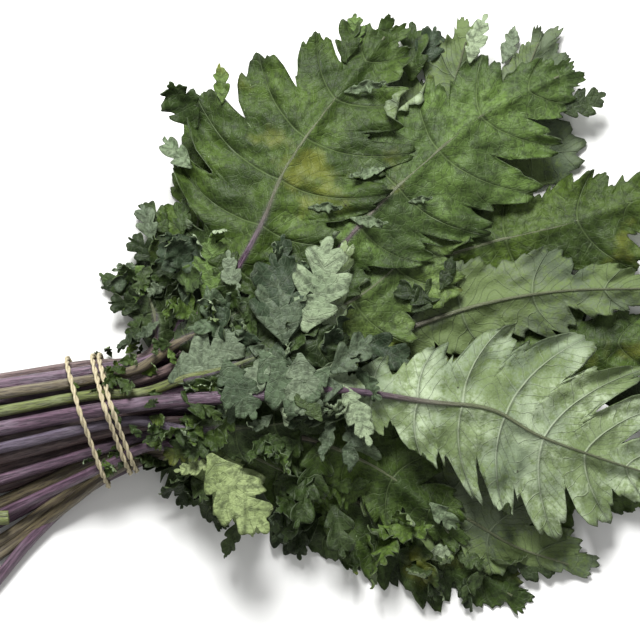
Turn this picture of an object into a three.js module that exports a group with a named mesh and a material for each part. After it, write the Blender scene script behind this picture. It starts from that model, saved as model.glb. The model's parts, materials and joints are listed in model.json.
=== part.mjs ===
// A tied bunch of purple kale, lying flat. Millimetres, +Z up, stalks towards -X and leaves towards +X.
// Each leaf is a round purple stalk that runs on as the midrib, and a thin green blade with cut edges.
// The leaves are laid one by one, lowest first, and each is lifted until it rests clear on what is below.
import * as THREE from "three";

// Plan scale and layout. Picture points are those of a view from above, 640 pixels across.
const MM_PER_PIXEL = 0.6;
const PICTURE_CENTRE = 320;
const TIE_PIXEL = [100, 417];
const AXIS_DEG = 18;

// Sizes in millimetres.
const BLADE_THICK = 1.0;
const RIB_GAP = 0.5;
const STALK_GAP = 0.5;
const LEAF_GAP = 1.0;
const TIP_RADIUS = 0.9;
const STRING_RADIUS = 1.6;
const STRING_GAP = 1.0;
const STRING_ROOM = 4.75;
const TURN_OFFSETS = [-9.3, 5.9, 9.9];
const STALK_STEP = 26;
const STEEPEST = 0.6;
const CELL = 3;
const PILE_SIZE = 600;
const STALK_TAPER = 0.16;
const RIB_TAPER = 1.8;
const STRING_REACH = 16;
const STRING_FADE = 60;
const LOFT_START = 15;
const SHORTEST_RISE = 20;
const LIFT_SPACING = 2.5;
const PILE_SPACING = 1.2;
const WIDE_BLADE = 24;
const TIP_ROOM = 4;
const TIP_DROP = 1;
const DROOP = 0.16;
const WAVE_HEIGHT = 3;
const WAVE_SHARE = 0.1;
const WAVE_STEP = 2.1;
const WAVE_SIDE_STEP = 1.3;

// Samples and passes.
const SPLINE_STEPS = 16;
const LIFT_PASSES = 60;
const LIFT_CHECKS = 8;
const PILE_STEPS = 16;
const ROD_SIDES = 6;
const HULL_POINTS = 24;
const STALK_SWELL = 1.08;

// The string's turns, as shares of a turn from its lowest point.
const STRING_START = 0.04;
const STRING_END = 2.86;
const STRING_STEPS = 40;
const CROSSOVER = 0.12;

// Shape of the lobes.
const LOBE_SAMPLES = [0, 0.28, 0.7];
const BASE_CUT = 0.8;
const TIP_CUT = 0.44;
const BASE_SWEEP_DEG = 84;
const TIP_SWEEP_DEG = 36;
const CUT_FADE = 1.4;
const LOBE_RISE = 0.82;
const LOBE_SKEW = 0.09;
const LOBE_FULLNESS = 0.6;
const TIP_LEAD = 0.55;

// Colours and how matt they are.
const BLADE_GREEN = 0x57753c;
const UNDERSIDE_PALE = 0x9fb08a;
const STALK_PURPLE = 0x5d3f62;
const STRING_CREAM = 0xd9cda6;
const BLADE_ROUGHNESS = 0.6;
const STALK_ROUGHNESS = 0.45;
const STRING_ROUGHNESS = 0.9;

// The leaves, lowest first. tie is the stalk's place across the tie in mm, positive up the picture.
// splay is the stalk's slope behind the tie in degrees and tail its length there.
// petiole and midrib are picture points. left and right are the reach of each lobe from the midrib in mm,
// and loft the midrib's free height at its base, middle and tip.
const LEAVES = [
  { tie: 18.7, splay: 9, tail: 98, radius: 4.4, loft: [0, 0, 0], petiole: [[150, 388]],
    midrib: [[215, 350], [290, 270], [370, 190], [430, 120], [455, 80]],
    left: [16, 34, 44, 40, 24], right: [18, 40, 54, 50, 30] },
  { tie: -18.7, splay: 18, tail: 92, radius: 4.4, loft: [0, 0, 0], petiole: [[165, 442]],
    midrib: [[225, 455], [320, 490], [410, 525], [480, 560]],
    left: [14, 30, 44, 44, 28], right: [12, 24, 42, 44, 30] },
  { tie: 0, splay: 12, tail: 104, radius: 4.5, loft: [0, 0, 0], petiole: [[160, 410]],
    midrib: [[230, 410], [330, 395], [430, 380], [520, 365], [590, 350]],
    left: [14, 34, 50, 52, 34], right: [14, 34, 50, 54, 36] },
  { tie: 28, splay: 9, tail: 90, radius: 4.0, loft: [3, 8, 4], petiole: [[135, 366]],
    midrib: [[167, 345], [188, 290], [196, 220], [194, 150], [196, 98]],
    left: [18, 32, 26, 15, 10], right: [14, 26, 34, 26, 14] },
  { tie: -28, splay: 28, tail: 88, radius: 3.6, loft: [0, 0, 0], petiole: [[138, 452]],
    midrib: [[164, 446], [184, 468], [202, 498], [217, 526]],
    left: [10, 18, 20, 12], right: [22, 22, 13, 9] },
  { tie: 9.3, splay: 10, tail: 96, radius: 4.4, loft: [2, 6, 10], petiole: [[165, 392]],
    midrib: [[250, 350], [330, 270], [400, 180], [445, 110], [468, 38]],
    left: [12, 22, 34, 44, 44, 22], right: [12, 24, 34, 34, 28, 16] },
  { tie: -9.3, splay: 14, tail: 100, radius: 4.4, loft: [0, 3, 8], petiole: [[165, 425]],
    midrib: [[240, 430], [350, 445], [460, 462], [560, 480], [645, 500]],
    left: [12, 24, 34, 36, 30, 18], right: [12, 24, 38, 46, 40, 18] },
  { tie: 23.4, splay: 9, tail: 106, radius: 4.3, loft: [8, 14, 14], petiole: [[160, 378]],
    midrib: [[260, 330], [360, 250], [450, 165], [515, 95], [541, 40]],
    left: [12, 22, 30, 34, 30, 16], right: [14, 30, 54, 78, 62, 28] },
  { tie: 4.7, splay: 11, tail: 94, radius: 4.4, loft: [8, 12, 10], petiole: [[165, 405]],
    midrib: [[240, 415], [340, 395], [440, 370], [540, 350], [664, 340]],
    left: [12, 24, 36, 40, 36, 22], right: [12, 24, 38, 46, 42, 24] },
  { tie: -32.5, splay: 36, tail: 96, radius: 3.9, loft: [2, 3, 2], petiole: [[150, 458]],
    midrib: [[200, 455], [250, 485], [300, 520], [345, 560]],
    left: [12, 22, 28, 18], right: [14, 22, 22, 12] },
  { tie: 32.5, splay: 9, tail: 100, radius: 3.6, loft: [8, 10, 6], petiole: [[128, 362]],
    midrib: [[150, 352], [154, 320], [145, 285], [155, 240]],
    left: [12, 20, 20, 11], right: [10, 20, 22, 14] },
  { tie: -23.4, splay: 24, tail: 102, radius: 4.3, loft: [4, 6, 2], petiole: [[165, 448]],
    midrib: [[260, 460], [350, 500], [440, 550], [515, 600]],
    left: [12, 26, 36, 34, 20], right: [12, 26, 42, 40, 18] },
  { tie: 14, splay: 10, tail: 90, radius: 4.6, loft: [14, 22, 26], petiole: [[170, 385]],
    midrib: [[270, 340], [380, 280], [480, 245], [580, 220], [690, 180]],
    left: [12, 22, 30, 34, 32, 18], right: [12, 24, 34, 42, 46, 24] },
  { tie: -4.7, splay: 13, tail: 98, radius: 4.4, loft: [14, 22, 20], petiole: [[170, 412]],
    midrib: [[290, 370], [390, 335], [480, 305], [560, 291], [650, 288]],
    left: [14, 24, 30, 30, 18], right: [12, 24, 32, 32, 18] },
  { tie: -14, splay: 16, tail: 106, radius: 4.4, loft: [10, 14, 8], petiole: [[170, 430]],
    midrib: [[270, 440], [370, 475], [469, 521], [515, 548], [572, 568]],
    left: [12, 24, 36, 50, 48, 26], right: [10, 22, 34, 38, 26, 12] },
  { tie: 9.3, splay: 10, tail: 100, radius: 4.2, loft: [20, 30, 26], petiole: [[165, 396]],
    midrib: [[240, 370], [310, 325], [375, 285], [430, 230], [450, 200]],
    left: [12, 26, 36, 34, 20], right: [14, 28, 42, 42, 24] },
  { tie: -18.7, splay: 17, tail: 94, radius: 3.6, loft: [14, 18, 10], petiole: [[160, 432]],
    midrib: [[205, 435], [250, 455], [290, 475], [325, 500]],
    left: [12, 20, 24, 15], right: [12, 22, 24, 15] },
  { tie: -9.3, splay: 14, tail: 88, radius: 4.2, loft: [20, 26, 14], petiole: [[170, 422]],
    midrib: [[230, 425], [310, 440], [370, 465], [420, 500], [450, 535]],
    left: [12, 22, 34, 34, 20], right: [12, 24, 34, 32, 17] },
  { tie: 18.7, splay: 9, tail: 102, radius: 4.7, loft: [28, 42, 26], petiole: [[180, 372]],
    midrib: [[270, 330], [330, 260], [378, 206], [431, 157], [484, 114], [560, 75]],
    left: [12, 22, 34, 44, 46, 36, 20], right: [14, 28, 44, 60, 64, 50, 26] },
  { tie: 28, splay: 9, tail: 96, radius: 4.8, loft: [30, 44, 20], petiole: [[160, 357]],
    midrib: [[192, 326], [235, 272], [262, 224], [285, 170], [330, 105], [385, 35]],
    left: [26, 48, 66, 70, 56, 40, 20], right: [16, 30, 50, 64, 64, 52, 26] },
  { tie: -28, splay: 25, tail: 90, radius: 3.4, loft: [16, 16, 6], petiole: [[150, 446]],
    midrib: [[180, 448], [204, 460], [228, 480], [243, 509], [252, 528]],
    left: [10, 18, 21, 12], right: [14, 20, 18, 11] },
  { tie: 0, splay: 12, tail: 92, radius: 4.0, loft: [34, 46, 40], petiole: [[170, 402]],
    midrib: [[230, 385], [280, 360], [315, 337], [322, 300], [345, 252]],
    left: [9, 10, 14, 18, 12], right: [9, 11, 14, 17, 12] },
  { tie: -4.7, splay: 13, tail: 104, radius: 3.6, loft: [30, 36, 30], petiole: [[140, 420]],
    midrib: [[180, 428], [230, 428], [285, 422], [335, 405]],
    left: [12, 18, 21, 14], right: [14, 22, 22, 14] },
  { tie: 23.4, splay: 9, tail: 92, radius: 3.6, loft: [30, 38, 34], petiole: [[140, 368]],
    midrib: [[175, 345], [215, 325], [250, 305], [275, 275]],
    left: [10, 15, 18, 12], right: [12, 18, 22, 15] },
  { tie: 14, splay: 10, tail: 98, radius: 3.7, loft: [34, 42, 40], petiole: [[145, 392]],
    midrib: [[185, 378], [235, 365], [290, 345], [345, 350]],
    left: [13, 21, 24, 17], right: [12, 20, 24, 17] },
  { tie: 4.7, splay: 11, tail: 100, radius: 4.8, loft: [40, 52, 18], petiole: [[160, 401], [226, 396]],
    midrib: [[262, 393], [336, 389], [426, 401], [491, 409], [536, 434], [600, 458], [655, 476]],
    left: [12, 16, 22, 34, 52, 66, 74, 52, 26], right: [12, 16, 22, 38, 58, 66, 60, 44, 22] },
];
const UNDERSIDE_UP = new Set([6, 8, 14, 15, 21, 22, 26]);

const radians = THREE.MathUtils.degToRad;
const axis = new THREE.Vector2(Math.cos(radians(AXIS_DEG)), Math.sin(radians(AXIS_DEG)));
const across = new THREE.Vector2(-axis.y, axis.x);

// A picture point's place on the plan, in mm.
function onPlan([px, py]) {
  return new THREE.Vector2((px - PICTURE_CENTRE) * MM_PER_PIXEL, (PICTURE_CENTRE - py) * MM_PER_PIXEL);
}

const tieCentre = onPlan(TIE_PIXEL);

function smooth(t) {
  const c = THREE.MathUtils.clamp(t, 0, 1);
  return c * c * (3 - 2 * c);
}

// Height map of the pile, in square cells. It keeps the highest surface in each cell.
class Pile {
  constructor(size = PILE_SIZE) {
    this.count = Math.ceil(size / CELL);
    this.half = size / 2;
    this.heights = new Float32Array(this.count * this.count).fill(-1);
  }
  raise(x, y, z) {
    const i = Math.floor((x + this.half) / CELL) + this.count * Math.floor((y + this.half) / CELL);
    this.heights[i] = Math.max(this.heights[i], z);
  }
  // Highest surface within one cell of the point, or -1 where nothing lies.
  top(x, y) {
    const ci = Math.floor((x + this.half) / CELL);
    const cj = Math.floor((y + this.half) / CELL);
    let best = -1;
    for (let j = cj - 1; j <= cj + 1; j++)
      for (let i = ci - 1; i <= ci + 1; i++) best = Math.max(best, this.heights[i + this.count * j]);
    return best;
  }
}

const bladePile = new Pile();
const wholePile = new Pile();
const laidStalks = [];

// A leaf's centre line on the plan, with its length measured from the cut end.
function planLine(leaf) {
  const atTie = tieCentre.clone().addScaledVector(across, leaf.tie);
  const back = new THREE.Vector2(-Math.cos(radians(leaf.splay)), -Math.sin(radians(leaf.splay)));
  const mid = atTie.clone().addScaledVector(back, leaf.tail / 2);
  const end = atTie.clone().addScaledVector(back, leaf.tail);
  const controls = [end, mid, atTie, ...leaf.petiole.map(onPlan), ...leaf.midrib.map(onPlan)];
  const points = controls.map((p) => new THREE.Vector3(p.x, p.y, 0));
  const curve = new THREE.CatmullRomCurve3(points, false, "centripetal");
  const pieces = (controls.length - 1) * SPLINE_STEPS;
  const dense = Array.from({ length: pieces + 1 }, (_, i) => curve.getPoint(i / pieces));
  const lengths = [0];
  for (let i = 1; i < dense.length; i++) lengths.push(lengths[i - 1] + dense[i].distanceTo(dense[i - 1]));
  const bladeStart = lengths[(3 + leaf.petiole.length) * SPLINE_STEPS];
  const at = (s) => {
    let i = lengths.findIndex((v) => v >= s);
    if (i < 1) i = s <= 0 ? 1 : lengths.length - 1;
    const t = (s - lengths[i - 1]) / (lengths[i] - lengths[i - 1]);
    const place = dense[i - 1].clone().lerp(dense[i], t);
    const way = dense[i].clone().sub(dense[i - 1]).normalize();
    return { x: place.x, y: place.y, wayX: way.x, wayY: way.y };
  };
  return { at, total: lengths[lengths.length - 1], bladeStart, tieAt: lengths[2 * SPLINE_STEPS] };
}

// Free height of a stalk's underside: its own loft, and room for the string where it crosses the tie.
function freeHeight(leaf, line, s) {
  const nearTie = Math.abs(s - line.tieAt);
  const overString = STRING_ROOM * (1 - smooth((nearTie - STRING_REACH) / STRING_FADE));
  const u = (s - line.bladeStart) / (line.total - line.bladeStart);
  const [base, middle, tip] = leaf.loft;
  if (u <= 0) {
    const start = line.tieAt + LOFT_START;
    const rise = smooth((s - start) / Math.max(SHORTEST_RISE, line.bladeStart - start));
    return Math.max(overString, base * rise);
  }
  const loft = base * (1 - u) * (1 - 2 * u) + 4 * middle * u * (1 - u) + tip * u * (2 * u - 1);
  return Math.max(overString, loft);
}

// Height that a round stalk needs to lie clear of the stalks, blades and table under it.
function stalkNeed(x, y, r, room) {
  let need = r + room;
  for (const other of laidStalks)
    for (let i = 1; i < other.length; i++) {
      const a = other[i - 1];
      const b = other[i];
      const dx = b.x - a.x;
      const dy = b.y - a.y;
      const t = THREE.MathUtils.clamp(((x - a.x) * dx + (y - a.y) * dy) / (dx * dx + dy * dy), 0, 1);
      const apart = Math.hypot(x - a.x - t * dx, y - a.y - t * dy);
      const reach = r + a.r + t * (b.r - a.r) + STALK_GAP;
      const rise = Math.sqrt(Math.max(0, reach * reach - apart * apart));
      if (apart < reach) need = Math.max(need, a.z + t * (b.z - a.z) + rise);
    }
  const under = bladePile.top(x, y);
  return under >= 0 ? Math.max(need, under + r + RIB_GAP + room) : need;
}

// Raises corners, the weightiest first and none above need, until their weighted height reaches need.
function raiseTo(corners, weights, need) {
  const height = () => corners.reduce((sum, v, i) => sum + weights[i] * v.z, 0);
  if (height() > need - 1e-3) return false;
  const order = corners.map((_, i) => i).sort((i, j) => weights[j] - weights[i]);
  for (const i of order) {
    const short = need - height();
    if (short <= 0 || weights[i] <= 0 || corners[i].z >= need) continue;
    corners[i].z = Math.min(need, corners[i].z + short / weights[i]);
  }
  return true;
}

// Lifts a stalk's nodes until every part of it is clear, with no stretch steeper than STEEPEST.
function liftStalk(nodes, roomOf) {
  for (let pass = 0; pass < LIFT_PASSES; pass++) {
    let moved = false;
    for (let i = 1; i < nodes.length; i++) {
      const a = nodes[i - 1];
      const b = nodes[i];
      for (let k = 0; k <= LIFT_CHECKS; k++) {
        const t = k / LIFT_CHECKS;
        const r = a.r + t * (b.r - a.r);
        const need = stalkNeed(a.x + t * (b.x - a.x), a.y + t * (b.y - a.y), r, roomOf(a, b, t));
        if (raiseTo([a, b], [1 - t, t], need)) moved = true;
      }
      const drop = STEEPEST * (b.s - a.s);
      if (a.z < b.z - drop - 1e-3) {
        a.z = b.z - drop;
        moved = true;
      }
      if (b.z < a.z - drop - 1e-3) {
        b.z = a.z - drop;
        moved = true;
      }
    }
    if (!moved) return;
  }
}

function stalkNodes(leaf, line) {
  const steps = Math.ceil(line.total / STALK_STEP);
  return Array.from({ length: steps + 1 }, (_, i) => {
    const s = (line.total * i) / steps;
    const p = line.at(s);
    const u = Math.max(0, (s - line.bladeStart) / (line.total - line.bladeStart));
    const stalk = leaf.radius * (1 - STALK_TAPER * Math.min(1, s / line.bladeStart));
    const r = TIP_RADIUS + (stalk - TIP_RADIUS) * (1 - u) ** RIB_TAPER;
    return { ...p, s, u, r, z: freeHeight(leaf, line, s) + r };
  });
}

function stalkHeightAt(nodes, s) {
  let i = nodes.findIndex((n) => n.s >= s);
  if (i < 1) i = s <= 0 ? 1 : nodes.length - 1;
  const t = (s - nodes[i - 1].s) / (nodes[i].s - nodes[i - 1].s);
  return THREE.MathUtils.lerp(nodes[i - 1].z - nodes[i - 1].r, nodes[i].z - nodes[i].r, t);
}

// Reach of a blade from its midrib at u along it, in mm. Cuts part its lobes, deepest near the base.
function reachAt(lobes, u) {
  const k = Math.min(u * lobes.length, lobes.length - 1e-6);
  const i = Math.floor(k);
  const part = k - i;
  const cut = THREE.MathUtils.lerp(BASE_CUT, TIP_CUT, smooth(u * CUT_FADE));
  const rise = part * LOBE_RISE + (part > 0.5 ? LOBE_SKEW : 0);
  const fill = Math.sin(Math.PI * Math.min(1, rise)) ** LOBE_FULLNESS;
  const before = lobes[Math.max(0, i - 1)];
  const after = lobes[Math.min(lobes.length - 1, i + 1)];
  const next = part < 0.5 ? before : after;
  const envelope = lobes[i] + (next - lobes[i]) * Math.abs(part - 0.5);
  return envelope * (1 - cut * (1 - Math.min(1, fill)));
}

// The blade as columns of plan points with heights: row 0 on the midrib, rows out to each edge.
function bladeGrid(leaf, line, nodes, index) {
  const rows = Math.max(...leaf.left, ...leaf.right) > WIDE_BLADE ? 3 : 2;
  const stations = [];
  leaf.left.forEach((_, lobe) => LOBE_SAMPLES.forEach((f) => stations.push((lobe + f) / leaf.left.length)));
  stations.push(1);
  const span = line.total - line.bladeStart - TIP_ROOM;
  const liesFlat = leaf.loft.every((height) => height === 0);
  const vertices = [];
  const grid = stations.map((u, j) => {
    const s = line.bladeStart + u * span;
    const p = line.at(s);
    const foot = stalkHeightAt(nodes, s) - RIB_GAP - BLADE_THICK;
    const sweep = radians(THREE.MathUtils.lerp(BASE_SWEEP_DEG, TIP_SWEEP_DEG, u * u));
    const column = [];
    for (let k = -rows; k <= rows; k++) {
      const side = Math.sign(k);
      const f = Math.abs(k) / rows;
      const reach = k === 0 ? 0 : reachAt(side > 0 ? leaf.left : leaf.right, u) * f;
      const cos = Math.cos(side * sweep);
      const sin = Math.sin(side * sweep);
      const droop = DROOP * reach * f;
      const turn = j * WAVE_STEP + side * WAVE_SIDE_STEP + index;
      const wave = f * Math.min(WAVE_HEIGHT, reach * WAVE_SHARE) * Math.sin(turn);
      column.push(vertices.length);
      vertices.push({
        x: p.x + reach * (p.wayX * cos - p.wayY * sin),
        y: p.y + reach * (p.wayX * sin + p.wayY * cos),
        z: liesFlat ? 0 : Math.max(0, foot - droop + (k === 0 ? 0 : wave)),
      });
    }
    return column;
  });
  const end = line.at(line.bladeStart + span);
  const tipReach = TIP_LEAD * leaf.left[leaf.left.length - 1];
  const last = grid[grid.length - 1];
  vertices.push({
    x: end.x + tipReach * end.wayX,
    y: end.y + tipReach * end.wayY,
    z: Math.max(0, vertices[last[rows]].z - TIP_DROP),
  });
  const tip = vertices.length - 1;
  const triangles = [];
  for (let j = 1; j < grid.length; j++)
    for (let k = 1; k < grid[j].length; k++) {
      const [a, b, c, d] = [grid[j - 1][k - 1], grid[j][k - 1], grid[j][k], grid[j - 1][k]];
      if (k <= rows) triangles.push([a, b, d], [b, c, d]);
      else triangles.push([a, b, c], [a, c, d]);
    }
  for (let k = 1; k < last.length; k++) triangles.push([last[k - 1], tip, last[k]]);
  return { vertices, triangles };
}

// Calls visit(x, y, weights) over points of a plan triangle, spacing mm apart.
function overTriangle([a, b, c], spacing, visit) {
  const apart = (p, q) => Math.hypot(q.x - p.x, q.y - p.y);
  const longest = Math.max(apart(a, b), apart(a, c), apart(b, c));
  const n = Math.max(1, Math.ceil(longest / spacing));
  for (let i = 0; i <= n; i++)
    for (let j = 0; j <= n - i; j++) {
      const w = [1 - (i + j) / n, i / n, j / n];
      visit(w[0] * a.x + w[1] * b.x + w[2] * c.x, w[0] * a.y + w[1] * b.y + w[2] * c.y, w);
    }
}

// Lifts a blade's points until its underside is clear of the pile.
function liftBlade({ vertices, triangles }) {
  for (let pass = 0; pass < LIFT_PASSES; pass++) {
    let moved = false;
    for (const triangle of triangles) {
      const corners = triangle.map((v) => vertices[v]);
      overTriangle(corners, LIFT_SPACING, (x, y, w) => {
        const under = wholePile.top(x, y);
        if (under < 0) return;
        if (raiseTo(corners, w, under + LEAF_GAP)) moved = true;
      });
    }
    if (!moved) return;
  }
}

function pileBlade({ vertices, triangles }) {
  for (const triangle of triangles) {
    const corners = triangle.map((v) => vertices[v]);
    overTriangle(corners, PILE_SPACING, (x, y, w) => {
      const z = w[0] * corners[0].z + w[1] * corners[1].z + w[2] * corners[2].z + BLADE_THICK;
      bladePile.raise(x, y, z);
      wholePile.raise(x, y, z);
    });
  }
}

function pileStalk(nodes) {
  laidStalks.push(nodes);
  for (let i = 1; i < nodes.length; i++) {
    const a = nodes[i - 1];
    const b = nodes[i];
    for (let k = 0; k <= PILE_STEPS; k++) {
      const t = k / PILE_STEPS;
      const r = THREE.MathUtils.lerp(a.r, b.r, t);
      for (let d = -1; d <= 1; d += 0.25) {
        const z = THREE.MathUtils.lerp(a.z, b.z, t) + r * Math.sqrt(1 - d * d);
        wholePile.raise(a.x + t * (b.x - a.x) - d * r * a.wayY, a.y + t * (b.y - a.y) + d * r * a.wayX, z);
      }
    }
  }
}

function solid(name, positions, index, colour, roughness) {
  const geometry = new THREE.BufferGeometry();
  geometry.setAttribute("position", new THREE.Float32BufferAttribute(positions, 3));
  geometry.setIndex(index);
  geometry.computeVertexNormals();
  const material = new THREE.MeshStandardMaterial({ color: colour, roughness, metalness: 0 });
  const mesh = new THREE.Mesh(geometry, material);
  mesh.name = name;
  return mesh;
}

// The blade closed into a thin sheet, with the same triangles on both faces and a wall round its edge.
function bladeMesh(name, { vertices, triangles }, colour) {
  const n = vertices.length;
  const upper = vertices.flatMap((v) => [v.x, v.y, v.z + BLADE_THICK]);
  const under = vertices.flatMap((v) => [v.x, v.y, v.z]);
  const positions = [...upper, ...under];
  const index = [];
  const edges = new Map();
  for (const [a, b, c] of triangles) {
    index.push(a, b, c, c + n, b + n, a + n);
    for (const [p, q] of [[a, b], [b, c], [c, a]]) {
      if (edges.has(`${q},${p}`)) edges.delete(`${q},${p}`);
      else edges.set(`${p},${q}`, [p, q]);
    }
  }
  for (const [p, q] of edges.values()) index.push(p, p + n, q, q, p + n, q + n);
  return solid(name, positions, index, colour, BLADE_ROUGHNESS);
}

// The stalk and midrib as one tapering six-sided rod with flat ends.
function stalkMesh(name, nodes, colour) {
  const positions = [];
  const index = [];
  nodes.forEach((node, i) => {
    const a = nodes[Math.max(0, i - 1)];
    const b = nodes[Math.min(nodes.length - 1, i + 1)];
    const way = new THREE.Vector3(b.x - a.x, b.y - a.y, b.z - a.z).normalize();
    const side = new THREE.Vector3(-way.y, way.x, 0).normalize();
    const up = new THREE.Vector3().crossVectors(way, side);
    for (let k = 0; k < ROD_SIDES; k++) {
      const angle = (2 * Math.PI * k) / ROD_SIDES;
      const p = new THREE.Vector3(node.x, node.y, node.z)
        .addScaledVector(side, node.r * Math.cos(angle))
        .addScaledVector(up, node.r * Math.sin(angle));
      positions.push(p.x, p.y, p.z);
    }
    if (i > 0)
      for (let k = 0; k < ROD_SIDES; k++) {
        const p = (i - 1) * ROD_SIDES + k;
        const q = (i - 1) * ROD_SIDES + ((k + 1) % ROD_SIDES);
        index.push(p, q, p + ROD_SIDES, q, q + ROD_SIDES, p + ROD_SIDES);
      }
  });
  const last = (nodes.length - 1) * ROD_SIDES;
  for (let k = 1; k < ROD_SIDES - 1; k++) {
    index.push(0, k + 1, k);
    index.push(last, last + k, last + k + 1);
  }
  return solid(name, positions, index, colour, STALK_ROUGHNESS);
}

// Circles that the stalks make in the plane across the bundle at an offset along its axis.
function stalkCircles(offset) {
  const circles = [];
  for (const nodes of laidStalks)
    for (const shift of [-STRING_RADIUS, 0, STRING_RADIUS])
      for (let i = 1; i < nodes.length; i++) {
        const along = (n) => (n.x - tieCentre.x) * axis.x + (n.y - tieCentre.y) * axis.y - offset - shift;
        const [a, b] = [nodes[i - 1], nodes[i]];
        if (along(a) > 0 || along(b) <= 0) continue;
        const t = -along(a) / (along(b) - along(a));
        const x = THREE.MathUtils.lerp(a.x, b.x, t) - tieCentre.x;
        const y = THREE.MathUtils.lerp(a.y, b.y, t) - tieCentre.y;
        const r = THREE.MathUtils.lerp(a.r, b.r, t) * STALK_SWELL;
        circles.push({ v: x * across.x + y * across.y, z: THREE.MathUtils.lerp(a.z, b.z, t), r });
      }
  return circles;
}

// Convex outline round the circles, grown by the string's radius and gap.
function outlineRound(circles) {
  const points = [];
  for (const { v, z, r } of circles)
    for (let k = 0; k < HULL_POINTS; k++) {
      const angle = (2 * Math.PI * k) / HULL_POINTS;
      const reach = r + STRING_RADIUS + STRING_GAP;
      points.push([v + reach * Math.cos(angle), z + reach * Math.sin(angle)]);
    }
  points.sort((p, q) => p[0] - q[0] || p[1] - q[1]);
  const turn = (o, a, b) => (a[0] - o[0]) * (b[1] - o[1]) - (a[1] - o[1]) * (b[0] - o[0]);
  const half = (list) => {
    const hull = [];
    for (const p of list) {
      while (hull.length > 1 && turn(hull[hull.length - 2], hull[hull.length - 1], p) <= 0) hull.pop();
      hull.push(p);
    }
    return hull.slice(0, -1);
  };
  return [...half(points), ...half([...points].reverse())];
}

// Where a ray from the middle of the outline crosses it.
function crossing(outline, middle, angle) {
  const [dv, dz] = [Math.cos(angle), Math.sin(angle)];
  for (let i = 0; i < outline.length; i++) {
    const a = outline[i];
    const b = outline[(i + 1) % outline.length];
    const [av, az] = [a[0] - middle[0], a[1] - middle[1]];
    const [ev, ez] = [b[0] - a[0], b[1] - a[1]];
    const det = dv * ez - dz * ev;
    if (Math.abs(det) < 1e-9) continue;
    const reach = (av * ez - az * ev) / det;
    const t = (av * dz - az * dv) / det;
    if (reach > 0 && t >= 0 && t <= 1) return [middle[0] + reach * dv, middle[1] + reach * dz];
  }
  return middle;
}

// One string wound three times round the stalks. It passes from one turn to the next underneath.
function tieMesh() {
  const points = [];
  for (let i = 0; i <= Math.round((STRING_END - STRING_START) * STRING_STEPS); i++) {
    const q = STRING_START + i / STRING_STEPS;
    const turn = Math.floor(q);
    const part = q - turn;
    const before = TURN_OFFSETS[Math.max(0, turn - 1)];
    const here = TURN_OFFSETS[turn];
    const after = TURN_OFFSETS[Math.min(2, turn + 1)];
    let offset = here;
    const over = 2 * CROSSOVER;
    const leaving = smooth((part - 1 + CROSSOVER) / over);
    if (part < CROSSOVER) offset = THREE.MathUtils.lerp(before, here, smooth((part + CROSSOVER) / over));
    if (part > 1 - CROSSOVER) offset = THREE.MathUtils.lerp(here, after, leaving);
    const circles = stalkCircles(offset);
    const outline = outlineRound(circles);
    const vs = outline.map((p) => p[0]);
    const zs = outline.map((p) => p[1]);
    const middle = [(Math.min(...vs) + Math.max(...vs)) / 2, (Math.min(...zs) + Math.max(...zs)) / 2];
    const wide = Math.max(...vs) - Math.min(...vs);
    const tall = Math.max(...zs) - Math.min(...zs);
    const round = 2 * Math.PI * (part - 0.25);
    const angle = Math.atan2(tall * Math.sin(round), wide * Math.cos(round));
    const [v, z] = crossing(outline, middle, angle);
    points.push(new THREE.Vector3(
      tieCentre.x + offset * axis.x + v * across.x,
      tieCentre.y + offset * axis.y + v * across.y,
      z,
    ));
  }
  const shape = new THREE.Shape();
  for (let k = 0; k <= ROD_SIDES; k++) {
    const angle = (2 * Math.PI * k) / ROD_SIDES;
    const [x, y] = [STRING_RADIUS * Math.cos(angle), STRING_RADIUS * Math.sin(angle)];
    if (k === 0) shape.moveTo(x, y);
    else if (k < ROD_SIDES) shape.lineTo(x, y);
  }
  shape.closePath();
  const path = new THREE.CatmullRomCurve3(points, false, "centripetal");
  const geometry = new THREE.ExtrudeGeometry(shape, { extrudePath: path, steps: points.length - 1 });
  const material = new THREE.MeshStandardMaterial({
    color: STRING_CREAM,
    roughness: STRING_ROUGHNESS,
    metalness: 0,
  });
  const mesh = new THREE.Mesh(geometry, material);
  mesh.name = "tie_string";
  return mesh;
}

const group = new THREE.Group();
LEAVES.forEach((leaf, index) => {
  const number = String(index + 1).padStart(2, "0");
  const line = planLine(leaf);
  const nodes = stalkNodes(leaf, line);
  const bladeRoom = BLADE_THICK + LEAF_GAP;
  liftStalk(nodes, (a, b, t) => (a.u + t * (b.u - a.u) > 0 ? bladeRoom : 0));
  const blade = bladeGrid(leaf, line, nodes, index);
  liftBlade(blade);
  pileBlade(blade);
  liftStalk(nodes, () => 0);
  pileStalk(nodes);
  const green = UNDERSIDE_UP.has(index + 1) ? UNDERSIDE_PALE : BLADE_GREEN;
  group.add(bladeMesh(`blade_${number}`, blade, green));
  group.add(stalkMesh(`stem_${number}`, nodes, STALK_PURPLE));
});
group.add(tieMesh());

// The origin stands under the middle of the bunch, at the level that it rests on.
const box = new THREE.Box3().setFromObject(group);
group.position.set(-(box.min.x + box.max.x) / 2, -(box.min.y + box.max.y) / 2, -box.min.z);

export default group;
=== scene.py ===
"""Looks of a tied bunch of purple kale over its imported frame. Metres, +Z up, stalks towards -X."""

import json
import logging
import math
from dataclasses import dataclass
from enum import Enum

import bpy
import numpy as np
from mathutils import Euler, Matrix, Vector
from mathutils.bvhtree import BVHTree
from mathutils.kdtree import KDTree

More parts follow.
